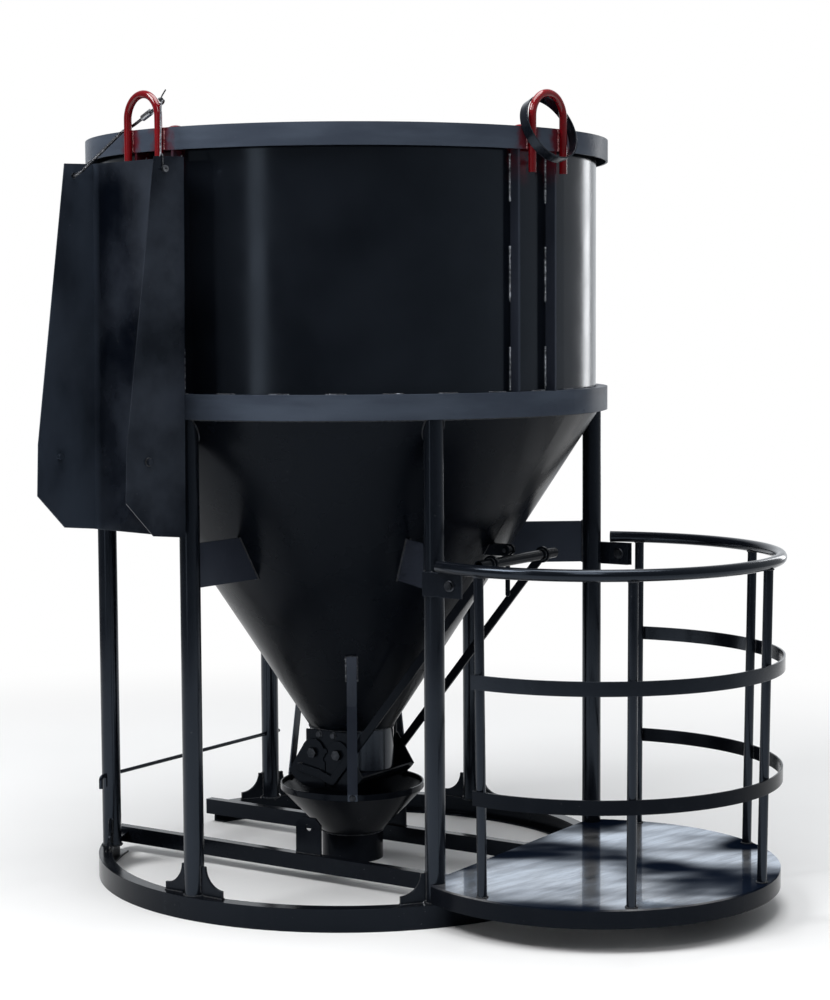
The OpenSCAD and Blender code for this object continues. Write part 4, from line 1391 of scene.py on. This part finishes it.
@dataclass
class Cradle(SubAssembly):
    """Operator's cradle: floor, band, posts, hoops, rail and the tabs to the legs."""

    middle_x: float = 0.83770
    floor_top: float = 0.120
    foot_r: float = 0.51704
    foot_lift: float = 0.001
    rail_r: float = 0.53004
    rail_z: float = 1.005
    rail_tube_r: float = 0.0165
    rail_lift: float = 0.0015
    post_r: float = 0.0135
    post_angles: tuple[float, ...] = (-96.1, -49.7, 3.4, 56.5, 102.9)
    post_steps: int = 28
    post_bead: Bead = Bead(0.0030, 0.0012)
    hoop_tops: tuple[float, float] = (0.728, 0.412)
    hoop_h: float = 0.040
    hoop_inset: float = 0.003
    hoop_aside: float = 0.0085
    leg_x: float = 0.59023
    leg_y: float = 0.44800
    leg_r: float = 0.0285
    tab_t: float = 0.008
    tab_gap: float = 0.0003
    tab_low: float = 0.9212
    tab_high: float = 0.9882
    tab_sink: float = 0.0022
    tab_edges: tuple[float, float] = (-0.0130, 0.0105)
    tab_bead: Bead = Bead(0.0032)
    bolt_x: float = 0.66823
    washer: Washer = Washer(0.0115, 0.0090, 0.0020)
    washer_out: float = 0.001
    washer_in: float = 0.0007
    looks: ClassVar[Looks] = (
        (TUBE, ("cradle_rail", "cradle_hoop_upper", "cradle_posts", "leg_tab_near", "leg_tab_far",
                "cradle_tabs")),
        (LOW, ("cradle_band", "cradle_hoop_lower")),
        (DECK, ("cradle_floor",)),
        (BOLT, ("cradle_bolts",)),
    )

    def at(self, radius: float, angle: float, height: float, aside: float = 0.0) -> Vector:
        """Gives a point by its place around the cradle's middle."""
        return polar(radius, angle, height, aside) + Vector((self.middle_x, 0.0, 0.0))

    def lean(self, height: float) -> float:
        """Gives the radius of a post's middle at a height."""
        share = (height - self.floor_top) / (self.rail_z - self.floor_top)
        return self.foot_r + share * (self.rail_r - self.foot_r)

    def post_lines(self, angle: float) -> list[Path]:
        """Gives the weld lines of one post.

        Args:
            angle: Angle of the post.

        Returns:
            The lines around its foot and its head, and beside it on each hoop.
        """
        under = self.rail_z - self.rail_tube_r
        foot = self.at(self.foot_r, angle, self.floor_top + self.foot_lift)
        head = self.at(self.lean(under), angle, under + self.rail_lift)
        lines = [circle(foot, self.post_r + self.post_bead.proud, self.post_steps),
                 circle(head, self.post_r, self.post_steps)]
        for top in self.hoop_tops:
            heights = (top - self.hoop_h + self.hoop_inset, top - self.hoop_inset)
            for side in SIDES:
                aside = side * self.hoop_aside
                lines.append([self.at(self.lean(z) + self.post_r - self.post_bead.proud, angle, z, aside)
                              for z in heights])
        return lines

    def build(self) -> None:
        """Lays the welds and puts washers on the tabs' bolts."""
        posts, tabs, spots = [], [], []
        for angle in self.post_angles:
            posts.extend(self.post_lines(angle))
        inner = self.leg_y + self.leg_r
        outer = inner + self.tab_gap + 2.0 * self.tab_t
        middle = 0.5 * (self.tab_low + self.tab_high)
        for side in SIDES:
            for dx in self.tab_edges:
                tabs.append([Vector((self.leg_x + dx, side * (inner - self.tab_sink), z))
                             for z in (self.tab_low, self.tab_high)])
            for y, way in ((outer + self.washer_out, side), (inner - self.washer_in, -side)):
                spots.append((Vector((self.bolt_x, side * y, middle)), Vector((0.0, way, 0.0))))
        self.shop.weld("post_welds", posts, self.post_bead)
        self.shop.weld("tab_welds", tabs, self.tab_bead)
        self.shop.washer("tab_washers", spots, self.washer)


@dataclass
class Chute(SubAssembly):
    """Pouring chute hung up on the near lug by its wire sling."""

    angle: float = -100.5
    back: float = 0.800085
    top: float = 2.114
    lean: float = math.radians(-0.64)
    left: float = -0.208
    right: float = 0.184
    sheet: float = 0.004
    pin_depth: float = 0.129
    pin_drop: float = -0.81885
    pin_r: float = 0.009
    pin_steps: int = 24
    pin_gap: float = 0.0008
    pin_bead: Bead = Bead(0.0026)
    hole_depth: float = 0.071
    hole_drop: float = 0.036
    lug_r: float = 0.788585
    lug_bar_r: float = 0.011
    lug_front: float = 0.004
    lug_gap: float = 0.001
    leg_t: float = 0.0655
    rim_top: float = 2.200
    wire: Rope = Rope(0.0045, 110.0, 0.0028)
    wire_step: float = 0.003
    wire_passes: int = 10
    tail_r: float = 0.0025
    stop: float = 0.014
    thick_points: int = 9
    tie: Rope = Rope(0.0020, 240.0, 0.0014)
    tie_step: float = 0.0015
    tie_passes: int = 2
    knot_turns: int = 3
    knot_steps: int = 12
    knot_spread: float = 0.010
    knot_aside: float = 0.012
    knot_rise: float = 0.0735
    knot_end: tuple[Colour, ...] = ((0.001, 0.004, 0.006), (0.0, 0.010, 0.014), (-0.002, 0.019, 0.025))
    loop_out: float = 0.004
    loop_dip: float = 0.004
    loop_round: float = 0.0015
    looks: ClassVar[Looks] = (
        (SHEET, ("chute_trough", "chute_pins")),
        (FERRULE, ("sling_ferrules",)),
    )

    def local(self, out: float, aside: float, rise: float) -> Vector:
        """Gives a point of the hung chute's own frame.

        Args:
            out: Distance out from its back sheet.
            aside: Distance sideways from the lug's middle.
            rise: Height above its top edge.

        Returns:
            The point.
        """
        radius = self.back + out * math.cos(self.lean) + rise * math.sin(self.lean)
        height = self.top - out * math.sin(self.lean) + rise * math.cos(self.lean)
        return polar(radius, self.angle, height, aside)

    def sling_corners(self) -> Path:
        """Gives the corner points of the sling's route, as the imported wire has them.

        Returns:
            The points.
        """
        hole_r = self.back + self.hole_depth * math.cos(self.lean) - self.hole_drop * math.sin(self.lean)
        hole_z = self.top - self.hole_drop * math.cos(self.lean) - self.hole_depth * math.sin(self.lean)
        behind = self.lug_r - self.lug_bar_r - self.wire.radius - self.lug_gap
        front = self.lug_r + self.lug_front
        leg, rim, left, right = self.leg_t, self.rim_top, self.left, self.right
        # Each point: distance from the barrel's axis, sideways from the lug's middle, height
        route = [
            (hole_r, left - self.stop, hole_z),
            (hole_r, left + 0.012, hole_z),
            (hole_r - 0.008, left + 0.026, hole_z + 0.009),
            (front + 0.011, -leg - 0.031, rim - 0.018),
            (front + 0.001, -leg - 0.021, rim - 0.004),
            (front - 0.011, -leg - 0.017, rim + 0.005),
            (behind + 0.001, -leg - 0.009, rim + 0.010),
            (behind, -leg + 0.004, rim + 0.014),
            (behind, leg - 0.004, rim + 0.066),
            (behind + 0.001, leg + 0.009, rim + 0.071),
            (front - 0.011, leg + 0.017, rim + 0.074),
            (front, leg + 0.023, rim + 0.072),
            (front + 0.008, leg + 0.027, rim + 0.062),
            (front + 0.011, leg + 0.030, rim + 0.050),
            (hole_r - 0.008, right - 0.022, hole_z + 0.017),
            (hole_r - 0.002, right - 0.013, hole_z + 0.005),
            (hole_r, right - 0.008, hole_z),
            (hole_r, right + self.stop, hole_z),
        ]
        return [polar(radius, self.angle, height, aside) for radius, aside, height in route]

    def knot(self) -> Path:
        """Gives the binding wire that is wound on the sling beside the lug and ends in the open.

        Returns:
            The corner points of the wire.
        """
        wound = self.tail_r + self.tie.radius
        last = self.knot_turns * self.knot_steps
        path = []
        for step in range(last + 1):
            turn = math.radians(step * FULL_TURN / self.knot_steps)
            path.append(Vector((self.lug_r + self.lug_front + wound * math.cos(turn),
                                self.leg_t + self.knot_aside + self.knot_spread * step / last,
                                self.rim_top + self.knot_rise + wound * math.sin(turn))))
        path.extend([path[-1] + Vector(way) for way in self.knot_end])
        return [polar(radius, self.angle, height, aside) for radius, aside, height in path]

    def loop(self) -> Path:
        """Gives the binding wire that goes over the right wall, from hole to hole.

        Returns:
            The corner points of the wire.
        """
        inner = self.right - self.sheet - self.tie.radius
        outer = self.right + self.tie.radius
        over = [(inner, -self.hole_drop), (inner, -self.loop_dip), (inner + self.loop_round, self.tie.radius),
                (outer - self.loop_round, self.tie.radius), (outer, -self.loop_dip), (outer, -self.hole_drop)]
        return [self.local(self.hole_depth + self.loop_out, aside, rise) for aside, rise in over]

    def build_sling(self) -> None:
        """Lays the sling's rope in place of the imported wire, with its binding wires."""
        corners = self.sling_corners()
        path = softened(corners, self.wire_step, self.wire_passes)
        thick = length_of(corners[:self.thick_points])
        kind = replace(self.wire, thin_from=thick, thin_scale=self.tail_r / self.wire.radius)
        rope = self.shop.rope("sling_rope", [path], kind)
        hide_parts("sling")
        self.shop.seat(rope, Body.CHUTE, Slot.WIRE)
        ties = [softened(run, self.tie_step, self.tie_passes) for run in (self.knot(), self.loop())]
        tie = self.shop.rope("sling_ties", ties, self.tie)
        self.shop.seat(tie, Body.CHUTE, Slot.WIRE)

    def build(self) -> None:
        """Lays the sling and the welds of the pins."""
        self.build_sling()
        corner = self.local(0.0, 0.0, 0.0)
        out = self.local(1.0, 0.0, 0.0) - corner
        up = self.local(0.0, 0.0, 1.0) - corner
        pin_r = self.pin_r + self.pin_bead.proud
        pins = [circle(self.local(self.pin_depth, aside, self.pin_drop), pin_r, self.pin_steps, up, out)
                for aside in (self.left - self.pin_gap, self.right + self.pin_gap)]
        self.shop.weld("pin_welds", pins, self.pin_bead, Body.CHUTE)


# Studio


@dataclass(frozen=True)
class SoftBox:
    """Large soft lamp, placed in the camera's own directions around the vessel's middle."""

    name: str
    right: float
    near: float
    height: float
    size: tuple[float, float]
    power: float
    aim: float = 1.2


@dataclass(frozen=True)
class Glow:
    """Brightness of the surroundings around one direction: a range of the cosine to it, and two levels."""

    direction: Colour
    low: float
    high: float
    dim: float
    bright: float

    def level(self, graph: Graph) -> Socket:
        """Gives the brightness.

        Args:
            graph: Graph of the world.

        Returns:
            The brightness in each direction.
        """
        node = graph.add("ShaderNodeVectorMath", operation="DOT_PRODUCT")
        graph.feed(node.inputs[0], graph.coords)
        node.inputs[1].default_value = self.direction
        return graph.span(node.outputs["Value"], self.low, self.high, self.dim, self.bright)


@dataclass
class Studio:
    """Camera, pale floor, plain bright surroundings and soft lamps."""

    eye: Colour = (3.8757, -5.5541, 1.6769)
    forward: Colour = (-0.5463, 0.83365, -0.08118)
    right: Colour = (0.83664, 0.54773, -0.00531)
    lens: float = 80.33
    sensor: float = 36.0
    floor_r: float = 5.0
    floor_steps: int = 96
    floor_tones: tuple[Colour, Colour] = ((0.86, 0.86, 0.86), (0.89, 0.89, 0.89))
    floor_cloud: Pattern = Pattern(0.6, 3.0)
    floor_rough: float = 0.9
    floor_specular: float = 0.1
    fade_from: float = 2.0
    fade_to: float = 4.2
    room: Glow = Glow((0.12, 0.99, 0.0), -1.1, 1.1, 0.12, 0.40)
    window: Glow = Glow((-0.55, 0.80, 0.22), 0.70, 1.0, 0.0, 0.62)
    daylight: Colour = (0.93, 0.965, 1.0)
    lamps: list[SoftBox] = field(default_factory=lambda: [
        SoftBox("lamp_left", -3.4, 1.9, 5.2, (2.2, 2.2), 225.0),
        SoftBox("strip_left", -2.9, 4.0, 1.7, (0.6, 3.0), 6.0),
        SoftBox("lamp_right", 3.9, -4.2, 2.4, (1.0, 3.2), 36.0),
        SoftBox("lamp_top", 0.4, 0.6, 5.6, (3.4, 3.4), 240.0),
        SoftBox("lamp_front", 0.2, 4.4, 4.6, (1.4, 1.4), 35.0),
    ])

    def add_camera(self) -> None:
        """Sets up the camera at the fitted viewpoint."""
        right = Vector(self.right).normalized()
        ahead = Vector(self.forward).normalized()
        turn = Matrix((right, right.cross(ahead), -ahead)).transposed()
        data = bpy.data.cameras.new("photo_camera")
        data.lens = self.lens
        data.sensor_width = self.sensor
        data.sensor_fit = "AUTO"
        camera = bpy.data.objects.new("photo_camera", data)
        camera.matrix_world = Matrix.Translation(Vector(self.eye)) @ turn.to_4x4()
        bpy.context.scene.collection.objects.link(camera)
        bpy.context.scene.camera = camera

    def floor_material(self) -> bpy.types.Material:
        """Builds the floor's material, which fades to white far from the bucket.

        Returns:
            The material.
        """
        material, graph, shader = new_shader("floor_pale")
        tone = graph.blend(self.floor_cloud.mask(graph), *self.floor_tones)
        graph.feed(shader.inputs["Base Color"], tone)
        shader.inputs["Roughness"].default_value = self.floor_rough
        shader.inputs["Specular IOR Level"].default_value = self.floor_specular
        far = graph.add("ShaderNodeVectorMath", operation="LENGTH")
        graph.feed(far.inputs[0], graph.coords)
        ray = graph.add("ShaderNodeLightPath")
        seen = graph.combine("MAXIMUM", ray.outputs["Is Camera Ray"], ray.outputs["Is Glossy Ray"])
        share = graph.times(graph.span(far.outputs["Value"], self.fade_from, self.fade_to), seen)
        white = graph.add("ShaderNodeEmission")
        white.inputs["Strength"].default_value = 1.0
        mixed = graph.add("ShaderNodeMixShader")
        for socket, value in zip(mixed.inputs, (share, shader.outputs[0], white.outputs[0])):
            graph.feed(socket, value)
        output = material.node_tree.nodes["Material Output"]
        graph.feed(output.inputs["Surface"], mixed.outputs[0])
        return material

    def add_floor(self) -> None:
        """Lays the pale floor."""
        ring = circle(Vector((0.0, 0.0, 0.0)), self.floor_r, self.floor_steps)[:-1]
        mesh = bpy.data.meshes.new("studio_floor")
        mesh.from_pydata(ring, [], [list(range(len(ring)))])
        mesh.materials.append(self.floor_material())
        floor = bpy.data.objects.new("studio_floor", mesh)
        bpy.context.scene.collection.objects.link(floor)

    def add_world(self) -> None:
        """Surrounds the scene with white behind the bucket and a dimmer room behind the camera."""
        world = bpy.data.worlds.new("studio_world")
        bpy.context.scene.world = world
        world.use_nodes = True
        graph = Graph(world.node_tree, "Generated")
        level = graph.combine("ADD", self.room.level(graph), self.window.level(graph))
        ray = graph.add("ShaderNodeLightPath")
        seen = graph.combine("MAXIMUM", ray.outputs["Is Camera Ray"], ray.outputs["Is Transmission Ray"])
        cool = graph.blend(level, BLACK, self.daylight)
        back = world.node_tree.nodes["Background"]
        graph.feed(back.inputs["Color"], graph.blend(seen, cool, WHITE))
        back.inputs["Strength"].default_value = 1.0

    def add_lamps(self) -> None:
        """Hangs the soft lamps."""
        right = Vector((self.right[0], self.right[1], 0.0)).normalized()
        near = -Vector((self.forward[0], self.forward[1], 0.0)).normalized()
        for box in self.lamps:
            data = bpy.data.lights.new(box.name, "AREA")
            data.shape = "RECTANGLE"
            data.size, data.size_y = box.size
            data.energy = box.power
            lamp = bpy.data.objects.new(box.name, data)
            place = right * box.right + near * box.near + UP * box.height
            lamp.location = place
            lamp.rotation_euler = (UP * box.aim - place).to_track_quat("-Z", "Y").to_euler()
            lamp.visible_camera = False
            bpy.context.scene.collection.objects.link(lamp)

    def build(self) -> None:
        """Sets up everything around the bucket."""
        bpy.context.scene.view_settings.view_transform = "Standard"
        self.add_camera()
        self.add_floor()
        self.add_world()
        self.add_lamps()


def main() -> None:
    """Builds the studio and the sub-assemblies in order and reports each piece."""
    logging.basicConfig(level=logging.INFO, format="%(name)s: %(message)s")
    Studio().build()
    shop = Shop(Wardrobe())
    vessel = Vessel(shop)
    for part in (Chute(shop), vessel, Lugs(shop), UnderFrame(shop, vessel), Funnel(shop, vessel),
                 Gate(shop, vessel), Cradle(shop)):
        part.build()
        part.dress()
        LOG.info("%s done", type(part).__name__)


if __name__ == "__main__":
    main()
